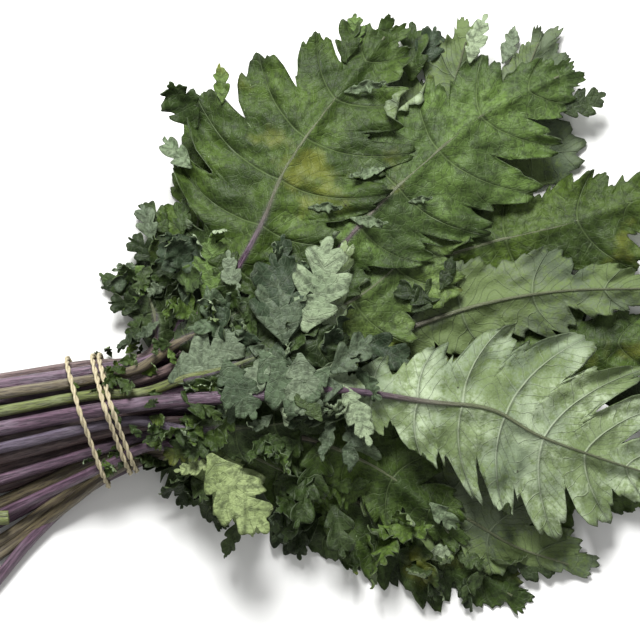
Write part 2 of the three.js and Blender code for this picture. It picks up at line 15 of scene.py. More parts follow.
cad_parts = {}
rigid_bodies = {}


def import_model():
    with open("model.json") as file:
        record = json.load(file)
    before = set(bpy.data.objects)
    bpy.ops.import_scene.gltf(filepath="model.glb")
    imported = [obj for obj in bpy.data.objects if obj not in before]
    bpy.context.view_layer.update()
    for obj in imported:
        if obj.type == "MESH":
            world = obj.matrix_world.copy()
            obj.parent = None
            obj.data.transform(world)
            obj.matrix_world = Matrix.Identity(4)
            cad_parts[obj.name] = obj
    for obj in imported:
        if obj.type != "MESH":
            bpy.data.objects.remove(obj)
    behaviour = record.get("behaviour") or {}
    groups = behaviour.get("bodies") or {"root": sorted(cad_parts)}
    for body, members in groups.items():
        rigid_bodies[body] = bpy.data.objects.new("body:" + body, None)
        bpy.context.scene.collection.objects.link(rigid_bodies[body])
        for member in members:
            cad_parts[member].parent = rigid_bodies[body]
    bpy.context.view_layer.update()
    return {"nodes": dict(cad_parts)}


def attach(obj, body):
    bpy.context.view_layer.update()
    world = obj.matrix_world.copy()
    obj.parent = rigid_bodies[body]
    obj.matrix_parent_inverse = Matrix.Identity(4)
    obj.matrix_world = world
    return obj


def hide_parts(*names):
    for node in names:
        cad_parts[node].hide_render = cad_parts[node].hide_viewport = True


log = logging.getLogger("kale")

MM = 0.001
# The picture: metres a pixel, its middle pixel, and where that pixel lies on the plan.
PIXEL = 0.6 * MM
PICTURE_CENTRE = 320
PLAN_SHIFT = np.array([4.351, -2.214]) * MM
# The stalks' way on the plan, the way across them, the tie's middle and its turns' places along the stalks in mm.
AXIS = np.array([math.cos(math.radians(18)), math.sin(math.radians(18))])
ACROSS = np.array([-AXIS[1], AXIS[0]])
TIE_PIXEL = (100, 417)
TURN_OFFSETS = (-9.3, 5.9, 9.9)
# The solid blades' rule: samples in a lobe, depth of the cuts and slant of the rays at both ends.
SPLINE_STEPS = 16
LOBE_SAMPLES = (0.0, 0.28, 0.7)
BASE_CUT = 0.8
TIP_CUT = 0.44
BASE_SWEEP = math.radians(84)
TIP_SWEEP = math.radians(36)
TIP_RADIUS = 0.9 * MM
MOSTLY_COVERED = (1, 2, 3, 6, 7, 8, 9, 12, 15)
DOWN = Vector((0, 0, -1))
UP = Vector((0, 0, 1))

# By the name of a step in a finish: its kind of node, its settings and the sockets of its terms. Any other name is
# the operation of a Math node.
STEPS = {
    "NOISE": ("ShaderNodeTexNoise", {}, ("Vector", "Scale", "Detail")),
    "CELLS": ("ShaderNodeTexVoronoi", {}, ("Vector", "Scale")),
    "CELL EDGES": ("ShaderNodeTexVoronoi", {"feature": "DISTANCE_TO_EDGE"}, ("Vector", "Scale")),
    "RANGE": ("ShaderNodeMapRange", {}, (0, 1, 2, 3, 4)),
    "SMOOTH": ("ShaderNodeMapRange", {"interpolation_type": "SMOOTHSTEP"}, (0, 1, 2, 3, 4)),
    "PLACE": ("ShaderNodeCombineXYZ", {}, (0, 1, 2)),
}


def linear(hex_colour: str) -> tuple[float, float, float, float]:
    """Turns an sRGB hex colour into linear light.

    Args:
        hex_colour: A colour such as "#4a6038".

    Returns:
        Red, green, blue and alpha, each from 0 to 1.
    """
    parts = [int(hex_colour[i : i + 2], 16) / 255 for i in (1, 3, 5)]
    light = [c / 12.92 if c <= 0.04045 else ((c + 0.055) / 1.055) ** 2.4 for c in parts]
    return (light[0], light[1], light[2], 1.0)


def add_node(
    tree: bpy.types.NodeTree, kind: str, inputs: dict | None = None, out: int | str | None = 0, **settings: object
) -> object:
    """Adds a node with its settings, values and links.

    Args:
        tree: The node tree that gets it.
        kind: The node's type name.
        inputs: By socket name or number, a value or the output socket to link from.
        out: Name or number of the wanted output, or None for all of them.
        settings: Properties of the node.

    Returns:
        The wanted output socket, or all outputs.
    """
    node = tree.nodes.new(kind)
    for name, value in settings.items():
        setattr(node, name, value)
    for key, value in (inputs or {}).items():
        if isinstance(value, bpy.types.NodeSocket):
            tree.links.new(value, node.inputs[key])
        else:
            node.inputs[key].default_value = value
    return node.outputs if out is None else node.outputs[out]


def placed(name: str, data: object) -> bpy.types.Object:
    """Makes an object of its data and puts it in the scene."""
    made = bpy.data.objects.new(name, data)
    bpy.context.scene.collection.objects.link(made)
    return made


def settled(piece: bpy.types.Object, solid: str = "") -> bpy.types.Object:
    """Hangs a piece under the root body and hides the solid that it stands for.

    Args:
        piece: The finished piece.
        solid: The solid that it stands for, if any.

    Returns:
        The piece.
    """
    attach(piece, "root")
    if solid:
        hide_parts(solid)
    return piece


def triangles(piece: bpy.types.Object) -> int:
    """Number of triangles in a piece."""
    return sum(len(face.vertices) - 2 for face in piece.data.polygons)


def turned(ways: np.ndarray, angles: np.ndarray) -> np.ndarray:
    """Plan directions turned to the left by an angle each."""
    cos, sin = np.cos(angles), np.sin(angles)
    return np.column_stack([ways[:, 0] * cos - ways[:, 1] * sin, ways[:, 0] * sin + ways[:, 1] * cos])


def on_plan(points: tuple) -> np.ndarray:
    """Turns picture points into plan places.

    Args:
        points: Picture points, in pixels from the top left.

    Returns:
        An (n, 2) array of x and y in metres.
    """
    pixels = np.array(points, float).reshape(-1, 2)
    x = (pixels[:, 0] - PICTURE_CENTRE) * PIXEL + PLAN_SHIFT[0]
    y = (PICTURE_CENTRE - pixels[:, 1]) * PIXEL + PLAN_SHIFT[1]
    return np.column_stack([x, y])


def ease(t: np.ndarray) -> np.ndarray:
    """Smooth step from 0 to 1."""
    c = np.clip(t, 0, 1)
    return c * c * (3 - 2 * c)


def spline(controls: np.ndarray) -> np.ndarray:
    """Centripetal Catmull-Rom curve through points, SPLINE_STEPS samples for each stretch.

    Args:
        controls: An (n, d) array of points.

    Returns:
        The samples, from the first point to the last.
    """
    ends = np.vstack([2 * controls[0] - controls[1], controls, 2 * controls[-1] - controls[-2]])
    samples = []
    for i in range(1, len(ends) - 2):
        p0, p1, p2, p3 = ends[i - 1 : i + 3]
        d0, d1, d2 = (math.sqrt(np.linalg.norm(b - a)) for a, b in ((p0, p1), (p1, p2), (p2, p3)))
        t1 = ((p1 - p0) / d0 - (p2 - p0) / (d0 + d1) + (p2 - p1) / d1) * d1
        t2 = ((p2 - p1) / d1 - (p3 - p1) / (d1 + d2) + (p3 - p2) / d2) * d1
        for t in np.arange(SPLINE_STEPS) / SPLINE_STEPS:
            cubic = (2 * p1 - 2 * p2 + t1 + t2) * t**3 + (3 * p2 - 3 * p1 - 2 * t1 - t2) * t**2
            samples.append(cubic + t1 * t + p1)
    samples.append(controls[-1])
    return np.array(samples)


def smoothed(values: np.ndarray, width: int, axis: int = 0) -> np.ndarray:
    """Moving average with held ends.

    Args:
        values: Numbers to smooth.
        width: Samples in the window.
        axis: The axis along which it runs.

    Returns:
        An array of the same shape.
    """
    half = max(1, width // 2)
    pads = [(0, 0)] * values.ndim
    pads[axis] = (half, half)
    padded = np.pad(values, pads, mode="edge")
    sums = np.cumsum(np.insert(padded, 0, 0, axis=axis), axis=axis)
    size = 2 * half + 1
    upper = np.take(sums, range(size, sums.shape[axis]), axis=axis)
    lower = np.take(sums, range(0, sums.shape[axis] - size), axis=axis)
    return (upper - lower) / size


def crinkle(places: np.ndarray, wavelength: float, seed: int) -> np.ndarray:
    """Smooth wavy noise over the plan.

    Args:
        places: An (..., 2) array of plan places.
        wavelength: Rough size of one wave, in metres.
        seed: Fixes the pattern.

    Returns:
        Values of about -1 to 1, one for each place.
    """
    rng = np.random.default_rng(seed)
    total = np.zeros(places.shape[:-1])
    for _ in range(5):
        angle = rng.uniform(0, 2 * math.pi)
        rate = 2 * math.pi / (wavelength * rng.uniform(0.7, 1.5))
        ray = places[..., 0] * math.cos(angle) + places[..., 1] * math.sin(angle)
        total += np.sin(ray * rate + rng.uniform(0, 2 * math.pi))
    return total / 2.6


def tooth(x: np.ndarray, sharpness: float) -> np.ndarray:
    """Row of teeth that lean forwards, 0 in the notches and 1 at the points."""
    part = np.mod(x, 1.0) ** 1.4
    return 1 - np.abs(2 * part - 1) ** sharpness


class Face(Enum):
    """Which face of a leaf lies upwards."""

    UPPER = "upper"
    UNDER = "under"


class Finish:
    """A node material in the making, with what its nodes give kept by name."""

    def __init__(self, name: str) -> None:
        """Starts the material, with the object's own places as "spot"."""
        self.made = bpy.data.materials.new(name)
        self.made.use_nodes = True
        self.tree = self.made.node_tree
        self.shader = self.tree.nodes["Principled BSDF"].inputs
        self.known = {"spot": add_node(self.tree, "ShaderNodeTexCoord", out="Object")}

    def read(self, attribute: str, *parts: str) -> None:
        """Reads an attribute of the mesh.

        Args:
            attribute: Its name, and the name of its value if it is one number.
            parts: The names of its three numbers if it is a vector.
        """
        found = add_node(self.tree, "ShaderNodeAttribute", out=None, attribute_name=attribute)
        if parts:
            numbers = add_node(self.tree, "ShaderNodeSeparateXYZ", {0: found["Vector"]}, None)
            self.known.update(zip(parts, numbers))
        else:
            self.known[attribute] = found["Fac"]

    def read_line(self, rate: float) -> None:
        """Gives "run", a place that follows a swept line and moves on by a rate along it.

        Args:
            rate: How fast it moves on, for each metre.
        """
        self.read("around", "x", "y", "z")
        self.read("along")
        self.steps(("depth", "MULTIPLY", "along", rate), ("run", "PLACE", "x", "y", "depth"))

    def steps(self, *rows: tuple) -> None:
        """Adds a chain of nodes.

        Args:
            rows: For each node its name, its step and its terms, which are numbers or names of earlier nodes.
        """
        for name, step, *terms in rows:
            kind, settings, keys = STEPS.get(step, ("ShaderNodeMath", {"operation": step}, (0, 1, 2)))
            values = {key: self.known.get(term, term) for key, term in zip(keys, terms)}
            self.known[name] = add_node(self.tree, kind, values, **settings)

    def layers(self, colour: object, *rows: tuple) -> object:
        """Lays colours over one another.

        Args:
            colour: The lowest colour, as hex or a socket.
            rows: For each layer the name of its share, and its colour as hex or a socket.

        Returns:
            The socket of the mixed colour.
        """
        for share, over in rows:
            pair = [linear(item) if isinstance(item, str) else item for item in (colour, over)]
            values = {0: self.known[share], 6: pair[0], 7: pair[1]}
            colour = add_node(self.tree, "ShaderNodeMix", values, 2, data_type="RGBA")
        return colour

    def done(self, colour: object, strength: float, distance: float) -> bpy.types.Material:
        """Links the shader to the colour and to the steps named "rough" and "height".

        Args:
            colour: The socket of the colour.
            strength: Strength of the bump.
            distance: Its depth in metres.

        Returns:
            The material.
        """
        values = {"Strength": strength, "Distance": distance, "Height": self.known["height"]}
        bump = add_node(self.tree, "ShaderNodeBump", values)
        for key, socket in (("Base Color", colour), ("Roughness", self.known["rough"]), ("Normal", bump)):
            self.tree.links.new(socket, self.shader[key])
        return self.made


@dataclass(frozen=True)
class LeafSkin:
    """Kale leaf blade: a matt waxy bloom over soft green, with a net of veins sunk in the upper face.

    The eye sees patches of lighter and bluer green, pale veins, purple that bleeds from the midrib, a few yellow
    patches and dark insect specks. The underside is pale and greyish with the veins standing proud. Painted shade
    darkens a band beside each side vein on both faces, and a thin darker line runs along the edge.
    """

    name: str
    upper: str = "#2a3a16"
    upper_light: str = "#4d6228"
    upper_vein: str = "#64734d"
    under: str = "#6d7b60"
    under_light: str = "#8f9d7f"
    under_vein: str = "#a5af97"
    under_patch: str = "#5d6e3c"
    # Painted shade beside the veins: under_shade on the underside and shade on the upper face, where shade is also the
    # dark green of the mottling and of the edge line.
    under_shade: str = "#414d3a"
    shade: str = "#171f0f"
    purple: str = "#4d3652"
    yellow: str = "#6b702e"
    speck: str = "#262418"
    yellow_share: float = 0.62
    purple_reach: float = 5.0
    vein_pitch: float = 7.5

    def material(self) -> bpy.types.Material:
        """Builds the node material, which reads the leaf_place and leaf_more attributes.

        Returns:
            The material.
        """
        finish = Finish(self.name)
        finish.read("leaf_place", "gap", "ray", "out")
        finish.read("leaf_more", "along", "side", "tint")
        # Noise scales are waves in a metre: patches of 60 mm down to a skin grain of under 1 mm.
        finish.steps(
            ("rare", "NOISE", "spot", 11.0),
            ("patch", "NOISE", "spot", 17.0, 5.0),
            ("broad", "NOISE", "spot", 28.0, 3.0),
            ("bent", "NOISE", "spot", 55.0, 1.0),
            ("fine", "NOISE", "spot", 240.0, 4.0),
            ("freckle", "NOISE", "spot", 620.0, 3.0),
            ("grain", "NOISE", "spot", 1500.0, 2.0),
        )
        # Veins: the side veins of the lobes, thin ones that branch off them, and a net of cells between.
        finish.steps(
            ("width", "MULTIPLY_ADD", "out", -0.75, 1.15),
            ("off_side_vein", "DIVIDE", "gap", "width"),
            ("near_side_vein", "SUBTRACT", 1.0, "off_side_vein"),
            ("second", "MAXIMUM", "near_side_vein", 0.0),
            ("bend", "SUBTRACT", "bent", 0.5),
            ("drift", "MULTIPLY", "bend", 2.2),
            ("slant", "MULTIPLY_ADD", "gap", -0.85, "ray"),
            ("branch", "DIVIDE", "slant", self.vein_pitch),
            ("order", "ADD", "branch", "drift"),
            ("order_part", "FRACT", "order"),
            ("order_gap", "SUBTRACT", "order_part", 0.5),
            ("band", "ABSOLUTE", "order_gap"),
            ("branch_line", "SMOOTH", "band", 0.44, 0.5),
            ("third", "MULTIPLY", "branch_line", 0.55),
            ("wide_cells", "CELL EDGES", "spot", 210.0),
            ("wide_net", "SMOOTH", "wide_cells", 0.0, 0.1, 1.0, 0.0),
            ("fine_cells", "CELL EDGES", "spot", 520.0),
            ("fine_net", "SMOOTH", "fine_cells", 0.0, 0.12, 1.0, 0.0),
            ("net_share", "MULTIPLY_ADD", "side", -0.16, 0.26),
            ("net", "MULTIPLY", "wide_net", "net_share"),
            ("main_veins", "MAXIMUM", "second", "third"),
            ("veins", "MAXIMUM", "main_veins", "net"),
            ("relief", "MULTIPLY_ADD", "fine_net", 0.1, "veins"),
        )
        # Shares of the colour layers. The band beside each side vein is painted shade.
        finish.steps(
            ("lightness", "ADD", "broad", "tint"),
            ("upper_lit", "SMOOTH", "lightness", 0.3, 0.75),
            ("under_lit", "SMOOTH", "lightness", 0.3, 0.7),
            ("some_fine", "MULTIPLY", "fine", 0.6),
            ("mottle", "MULTIPLY_ADD", "freckle", 0.4, "some_fine"),
            ("mottled", "SMOOTH", "mottle", 0.42, 0.64, 0.0, 0.6),
            ("yellowed", "SMOOTH", "patch", self.yellow_share, self.yellow_share + 0.1, 0.0, 0.7),
            # Painted shade: a darker band beside each side vein, where the raised vein would shade the blade.
            ("beside_vein", "SMOOTH", "gap", 0.5, 2.6, 0.45, 0.0),
            ("off_vein", "SUBTRACT", 1.0, "second"),
            ("painted_vein_shade", "MULTIPLY", "beside_vein", "off_vein"),
            ("upper_veined", "MULTIPLY", "veins", 0.5),
            ("worn", "MULTIPLY_ADD", "mottle", 0.5, "patch"),
            ("under_worn", "SMOOTH", "worn", 0.72, 0.86, 0.0, 0.7),
            ("under_mottled", "SMOOTH", "mottle", 0.48, 0.66, 0.0, 0.35),
            ("underside_vein_painted_shade", "MULTIPLY", "painted_vein_shade", 0.8),
            ("under_veined", "MULTIPLY", "veins", 0.6),
            ("ragged_ray", "MULTIPLY_ADD", "fine", 3.0, "ray"),
            ("near_rib", "SMOOTH", "ragged_ray", 0.8, self.purple_reach, 0.85, 0.0),
            ("near_foot", "SMOOTH", "along", 0.2, 0.55, 1.0, 0.0),
            ("bled", "MULTIPLY", "near_rib", "near_foot"),
            ("rim", "SMOOTH", "out", 0.93, 1.0, 0.0, 0.4),
            ("speck_cells", "CELLS", "spot", 62.0),
            ("dots", "SMOOTH", "speck_cells", 0.03, 0.07, 1.0, 0.0),
            ("here", "SMOOTH", "rare", 0.56, 0.62, 0.0, 0.8),
            ("specked", "MULTIPLY", "dots", "here"),
        )
        # The layers beside the veins are painted shade.
        upper = finish.layers(
            self.upper, ("upper_lit", self.upper_light), ("mottled", self.shade), ("yellowed", self.yellow),
            ("painted_vein_shade", self.shade), ("upper_veined", self.upper_vein),
        )
        under = finish.layers(
            self.under, ("under_lit", self.under_light), ("under_worn", self.under_patch),
            ("under_mottled", self.under_patch), ("underside_vein_painted_shade", self.under_shade), ("under_veined", self.under_vein),
        )
        colour = finish.layers(
            upper, ("side", under), ("bled", self.purple), ("rim", self.shade), ("specked", self.speck)
        )
        finish.steps(
            ("rough_patches", "MULTIPLY_ADD", "fine", 0.2, 0.42),
            ("rough", "MULTIPLY_ADD", "side", 0.14, "rough_patches"),
            ("way", "MULTIPLY_ADD", "side", 1.7, -0.7),
            ("proud", "MULTIPLY", "relief", "way"),
            ("grained", "MULTIPLY_ADD", "grain", 0.12, "proud"),
            ("height", "MULTIPLY_ADD", "mottle", 0.9, "grained"),
        )
        finish.shader["Specular IOR Level"].default_value = 0.22
        return finish.done(colour, 0.9, 0.9 * MM)


@dataclass(frozen=True)
class StalkSkin:
    """Kale stalk: smooth waxy skin over long ribs, glossy where it is clean.

    The eye sees long streaks of lighter and darker colour, partly its own and partly painted highlight, thin dark
    lines of painted shade, pale blotches of bloom and a pale green cut end.
    """

    name: str
    main: str
    # streak is partly the stalk's own lighter colour and partly painted highlight; groove is painted shade in thin
    # lines.
    streak: str
    bloom: str = "#726b75"
    groove: str = "#1f1621"
    tip: str = "#666e4f"
    cut: str = "#9fa982"

    def material(self) -> bpy.types.Material:
        """Builds the node material, which reads the around, along and girth attributes.

        Returns:
            The material.
        """
        finish = Finish(self.name)
        finish.read_line(14.0)
        finish.read("girth")
        finish.steps(
            ("streaks", "NOISE", "run", 2.2, 5.0),
            ("lines", "NOISE", "run", 9.0, 3.0),
            ("blotch", "NOISE", "spot", 42.0, 4.0),
            # Lighter streaks: partly the stalk's own colour, partly painted highlight. Thin dark lines: painted shade.
            ("streaks_and_painted_highlight", "RANGE", "streaks", 0.38, 0.66),
            ("dusted", "RANGE", "blotch", 0.5, 0.75, 0.0, 0.5),
            ("painted_groove_shade", "RANGE", "lines", 0.46, 0.62, 0.0, 0.75),
            ("slim", "RANGE", "girth", 1.2 * MM, 1.9 * MM, 0.9, 0.0),
            ("cut_end", "RANGE", "along", 0.0, 0.3 * MM, 1.0, 0.0),
            ("rough", "RANGE", "blotch", 0.3, 0.7, 0.32, 0.55),
            ("height", "ADD", "streaks", "lines"),
        )
        colour = finish.layers(
            self.main, ("streaks_and_painted_highlight", self.streak), ("dusted", self.bloom), ("painted_groove_shade", self.groove),
            ("slim", self.tip), ("cut_end", self.cut),
        )
        return finish.done(colour, 0.9, 0.8 * MM)


@dataclass(frozen=True)
class TwistedPaperSkin:
    """Twisted paper string: dry and matt. The eye sees fine fibres along each ply and darker tan patches along it."""

    name: str = "twisted_paper_string"
    main: str = "#c3ba9e"
    # groove is the darker tan of the patches, laid by noise.
    groove: str = "#918462"

    def material(self) -> bpy.types.Material:
        """Builds the node material, which reads the around and along attributes.

        Returns:
            The material.
        """
        finish = Finish(self.name)
        finish.read_line(90.0)
        finish.steps(
            ("height", "NOISE", "run", 5.0, 5.0),
            ("darker_patches", "RANGE", "height", 0.35, 0.7),
            ("rough", "RANGE", "height", 0.0, 1.0, 0.75, 0.95),
        )
        return finish.done(finish.layers(self.main, ("darker_patches", self.groove)), 0.8, 0.3 * MM)


@dataclass(frozen=True)
class PaperSkin:
    """Matt white studio paper, faintly mottled."""

    name: str = "studio_paper"
    light: str = "#f4f4f2"
    dark: str = "#eeeeec"

    def material(self) -> bpy.types.Material:
        """Builds the node material.

        Returns:
            The material.
        """
        finish = Finish(self.name)
        finish.steps(("mottle", "NOISE", "spot", 30.0, 3.0))
        finish.tree.links.new(finish.layers(self.light, ("mottle", self.dark)), finish.shader["Base Color"])
        finish.shader["Roughness"].default_value = 0.9
        return finish.made


MID_GREEN = LeafSkin("kale_mid_green")
DEEP_GREEN = LeafSkin("kale_deep_green", upper="#222e18", upper_light="#3a4926", yellow_share=0.75)
BRIGHT_GREEN = LeafSkin("kale_bright_green", upper="#2e3e17", upper_light="#4b5f22", yellow_share=0.6)
# Leaf 16's green, painted lighter to stand in for light against the shadow that leaf 19 casts on it.
PAINTED_SUNLIT_GREEN = LeafSkin("kale_sunny_green", upper="#435529", upper_light="#5f733a", yellow_share=0.55)
BLUE_GREEN = LeafSkin(
    "kale_blue_green", upper="#2e3c2a", upper_light="#4e5e45", upper_vein="#727e65", yellow_share=0.85
)
FOREST_GREEN = LeafSkin(
    "kale_forest_green", upper="#354621", upper_light="#587034", upper_vein="#697851", yellow_share=0.62
)
PALE_LEAFLET = LeafSkin("kale_pale_leaflet", "#667659", "#8a9979", "#9ba589", yellow_share=0.9)
GREY_LEAFLET = LeafSkin("kale_grey_leaflet", "#4a5743", "#6b7860", "#7f8b70", yellow_share=0.9)
PALE_UNDER = LeafSkin("kale_pale_underside", under="#67755b", under_light="#9eac8d")
GREY_UNDER = LeafSkin("kale_grey_underside", under="#495540", under_light="#626d54", under_vein="#79846a")

# Leaf 21's own pale yellow-green, painted brighter still to stand in for light where the leaf lies low in shade.
PALE_GREEN_PAINTED_BRIGHTER = LeafSkin(
    "kale_spring_green", "#72814f", "#8f9d6b", "#66744a", "#7b8a5a", "#9ba97a", "#5a6742", yellow_share=0.9
)

PURPLE_STALK = StalkSkin("stalk_purple_skin", "#3c2937", "#705868", bloom="#7c717d")
MAUVE_STALK = StalkSkin("stalk_mauve_skin", "#53403f", "#776460", bloom="#8a7e7c")
OLIVE_STALK = StalkSkin("stalk_olive_skin", "#524836", "#72694e", bloom="#817968")
LIME_STALK = StalkSkin("stalk_lime_skin", "#5c6536", "#798347", bloom="#868e6b")
LAVENDER_STALK = StalkSkin("stalk_lavender_skin", "#473b48", "#6a6070", bloom="#827b84")


@dataclass(frozen=True)
class Roll:
    """A stretch of a blade's edge that rolls over and shows its other face.

    side is 1 for left and -1 for right, middle and width are counted in lobes, start is the share of the reach at
    which it turns, and radius its roundness in mm.
    """

    side: int
    middle: float
    width: float
    start: float = 0.7
    radius: float = 3.2


@dataclass(frozen=True)
class LeafPlan:
    """One leaf as its solids lie: lengths in mm, petiole and midrib as picture points.

    tie is its place across the tie, splay the stalk's slope behind it in degrees and tail its length there.
    left and right are the reach of each lobe, ruffle the height of the edge's waves in mm, and rolls its rolls.
    """

    tie: float
    splay: float
    tail: float
    radius: float
    petiole: tuple
    midrib: tuple
    left: tuple
    right: tuple
    skin: LeafSkin
    stalk: StalkSkin = PURPLE_STALK
    face: Face = Face.UPPER
    ruffle: float = 4.6
    rolls: tuple = ()


LEAVES = (
    LeafPlan(18.7, 9, 98, 4.4, ((150, 388),), ((215, 350), (290, 270), (370, 190), (430, 120), (455, 80)),
             (16, 34, 44, 40, 24), (18, 40, 54, 50, 30), DEEP_GREEN),
    LeafPlan(-18.7, 18, 92, 4.4, ((165, 442),), ((225, 455), (320, 490), (410, 525), (480, 560)),
             (14, 30, 44, 44, 28), (12, 24, 42, 44, 30), DEEP_GREEN),
    LeafPlan(0, 12, 104, 4.5, ((160, 410),), ((230, 410), (330, 395), (430, 380), (520, 365), (590, 350)),
             (14, 34, 50, 52, 34), (14, 34, 50, 54, 36), DEEP_GREEN),
    LeafPlan(28, 9, 90, 4.0, ((135, 366),), ((167, 345), (188, 290), (196, 220), (194, 150), (196, 98)),
             (18, 32, 26, 15, 10), (14, 26, 34, 26, 14), MID_GREEN),
    LeafPlan(-28, 28, 88, 3.6, ((138, 452),), ((164, 446), (184, 468), (202, 498), (217, 526)),
             (10, 18, 20, 12), (22, 22, 13, 9), DEEP_GREEN),
    LeafPlan(9.3, 10, 96, 4.4, ((165, 392),), ((250, 350), (330, 270), (400, 180), (445, 110), (468, 38)),
             (12, 22, 34, 44, 44, 22), (12, 24, 34, 34, 28, 16), GREY_UNDER, face=Face.UNDER),
    LeafPlan(-9.3, 14, 100, 4.4, ((165, 425),), ((240, 430), (350, 445), (460, 462), (560, 480), (645, 500)),
             (12, 24, 34, 36, 30, 18), (12, 24, 38, 46, 40, 18), MID_GREEN),
    LeafPlan(23.4, 9, 106, 4.3, ((160, 378),), ((260, 330), (360, 250), (450, 165), (515, 95), (541, 40)),
             (12, 22, 30, 34, 30, 16), (14, 30, 54, 78, 62, 28), GREY_UNDER, face=Face.UNDER),
    LeafPlan(4.7, 11, 94, 4.4, ((165, 405),), ((240, 415), (340, 395), (440, 370), (540, 350), (664, 340)),
             (12, 24, 36, 40, 36, 22), (12, 24, 38, 46, 42, 24), MID_GREEN),
    LeafPlan(-32.5, 36, 96, 3.9, ((150, 458),), ((200, 455), (250, 485), (300, 520), (345, 560)),
             (12, 22, 28, 18), (14, 22, 22, 12), DEEP_GREEN, OLIVE_STALK),
    LeafPlan(32.5, 9, 100, 3.6, ((128, 362),), ((150, 352), (154, 320), (145, 285), (155, 240)),
             (12, 20, 20, 11), (10, 20, 22, 14), DEEP_GREEN, MAUVE_STALK),
    LeafPlan(-23.4, 24, 102, 4.3, ((165, 448),), ((260, 460), (350, 500), (440, 550), (515, 600)),
             (12, 26, 36, 34, 20), (12, 26, 42, 40, 18), MID_GREEN, OLIVE_STALK),
    LeafPlan(14, 10, 90, 4.6, ((170, 385),), ((270, 340), (380, 280), (480, 245), (580, 220), (690, 180)),
             (12, 22, 30, 34, 32, 18), (12, 24, 34, 42, 46, 24), BRIGHT_GREEN),
    LeafPlan(-4.7, 13, 98, 4.4, ((170, 412),), ((290, 370), (390, 335), (480, 305), (560, 291), (650, 288)),
             (14, 24, 30, 30, 18), (12, 24, 32, 32, 18), GREY_UNDER, face=Face.UNDER),
    LeafPlan(-14, 16, 106, 4.4, ((170, 430),),
             ((270, 440), (370, 475), (469, 521), (515, 548), (572, 568)),
             (12, 24, 36, 50, 48, 26), (10, 22, 34, 38, 26, 12), GREY_UNDER, MAUVE_STALK, Face.UNDER),
    # Leaf 16, painted lighter against the shadow of leaf 19.
    LeafPlan(9.3, 10, 100, 4.2, ((165, 396),), ((240, 370), (310, 325), (375, 285), (430, 230), (450, 200)),
             (12, 26, 36, 34, 20), (14, 28, 42, 42, 24), PAINTED_SUNLIT_GREEN),
    LeafPlan(-18.7, 17, 94, 3.6, ((160, 432),), ((205, 435), (250, 455), (290, 475), (325, 500)),
             (12, 20, 24, 15), (12, 22, 24, 15), MID_GREEN),
    LeafPlan(-9.3, 14, 88, 4.2, ((170, 422),), ((230, 425), (310, 440), (370, 465), (420, 500), (450, 535)),
             (12, 22, 34, 34, 20), (12, 24, 34, 32, 17), MID_GREEN, MAUVE_STALK),
    LeafPlan(18.7, 9, 102, 4.7, ((180, 372),),
             ((270, 330), (330, 260), (378, 206), (431, 157), (484, 114), (560, 75)),
             (12, 22, 34, 44, 46, 36, 20), (14, 28, 44, 60, 64, 50, 26), FOREST_GREEN,
             rolls=(Roll(1, 2.4, 0.8, 0.72), Roll(1, 4.2, 0.6, 0.75), Roll(-1, 1.8, 0.5, 0.7))),
    LeafPlan(28, 9, 96, 4.8, ((160, 357),),
             ((192, 326), (235, 272), (262, 224), (285, 170), (330, 105), (385, 35)),
             (26, 48, 66, 70, 56, 40, 20), (16, 30, 50, 64, 64, 52, 26), MID_GREEN, PURPLE_STALK,
             rolls=(Roll(-1, 5.4, 0.5, 0.72), Roll(-1, 2.6, 0.5, 0.8), Roll(1, 1.6, 0.4, 0.8))),
    # Leaf 21: its own pale green, painted brighter against the shade it lies in.
    LeafPlan(-28, 25, 90, 3.4, ((150, 446),), ((180, 448), (204, 460), (228, 480), (243, 509), (252, 528)),
             (10, 18, 21, 12), (14, 20, 18, 11), PALE_GREEN_PAINTED_BRIGHTER, face=Face.UNDER),
    LeafPlan(0, 12, 92, 4.0, ((170, 402),), ((230, 385), (280, 360), (315, 337), (322, 300), (345, 252)),
             (9, 10, 14, 18, 12), (9, 11, 14, 17, 12), PALE_UNDER, MAUVE_STALK, Face.UNDER),
    LeafPlan(-4.7, 13, 104, 3.6, ((140, 420),), ((180, 428), (230, 428), (285, 422), (335, 405)),
             (12, 18, 21, 14), (14, 22, 22, 14), DEEP_GREEN, LAVENDER_STALK),
    LeafPlan(23.4, 9, 92, 3.6, ((140, 368),), ((175, 345), (215, 325), (250, 305), (275, 275)),
             (10, 15, 18, 12), (12, 18, 22, 15), DEEP_GREEN, OLIVE_STALK),
    LeafPlan(14, 10, 98, 3.7, ((145, 392),), ((185, 378), (235, 365), (290, 345), (345, 350)),
             (13, 21, 24, 17), (12, 20, 24, 17), DEEP_GREEN, LIME_STALK),
    LeafPlan(4.7, 11, 100, 4.8, ((160, 401), (226, 396)),
             ((262, 393), (336, 389), (426, 401), (491, 409), (536, 434), (600, 458), (655, 476)),
             (12, 16, 22, 34, 52, 66, 74, 52, 26), (12, 16, 22, 38, 58, 66, 60, 44, 22), PALE_UNDER,
             PURPLE_STALK, Face.UNDER, rolls=(Roll(-1, 3.4, 0.5, 0.8), Roll(-1, 5.6, 0.5, 0.85))),
)


@dataclass(frozen=True)
class Spray:
    """A crowd of leaflets strewn over an oval of the picture.

    middle and spread are in pixels, size is the least and greatest length in pixels, heading and turn are the mean
    way that they point and its spread in degrees, and lift is the most that they stand over what carries them, in mm.
    """

    middle: tuple
    spread: tuple
    number: int
    size: tuple
    heading: float
    turn: float
    skin: LeafSkin
    lift: float = 5.0


@dataclass(frozen=True)
class Sprig:
    """One listed leaflet: its foot in the picture, the way it points in degrees and its length in pixels.

    pitch is how far its tip rises and roll how far it leans over, both in degrees.
    """

    foot: tuple
    heading: float
    size: float
    skin: LeafSkin
    kind: int = 0
    pitch: float = 8.0
    roll: float = 0.0
    lift: float = 1.5


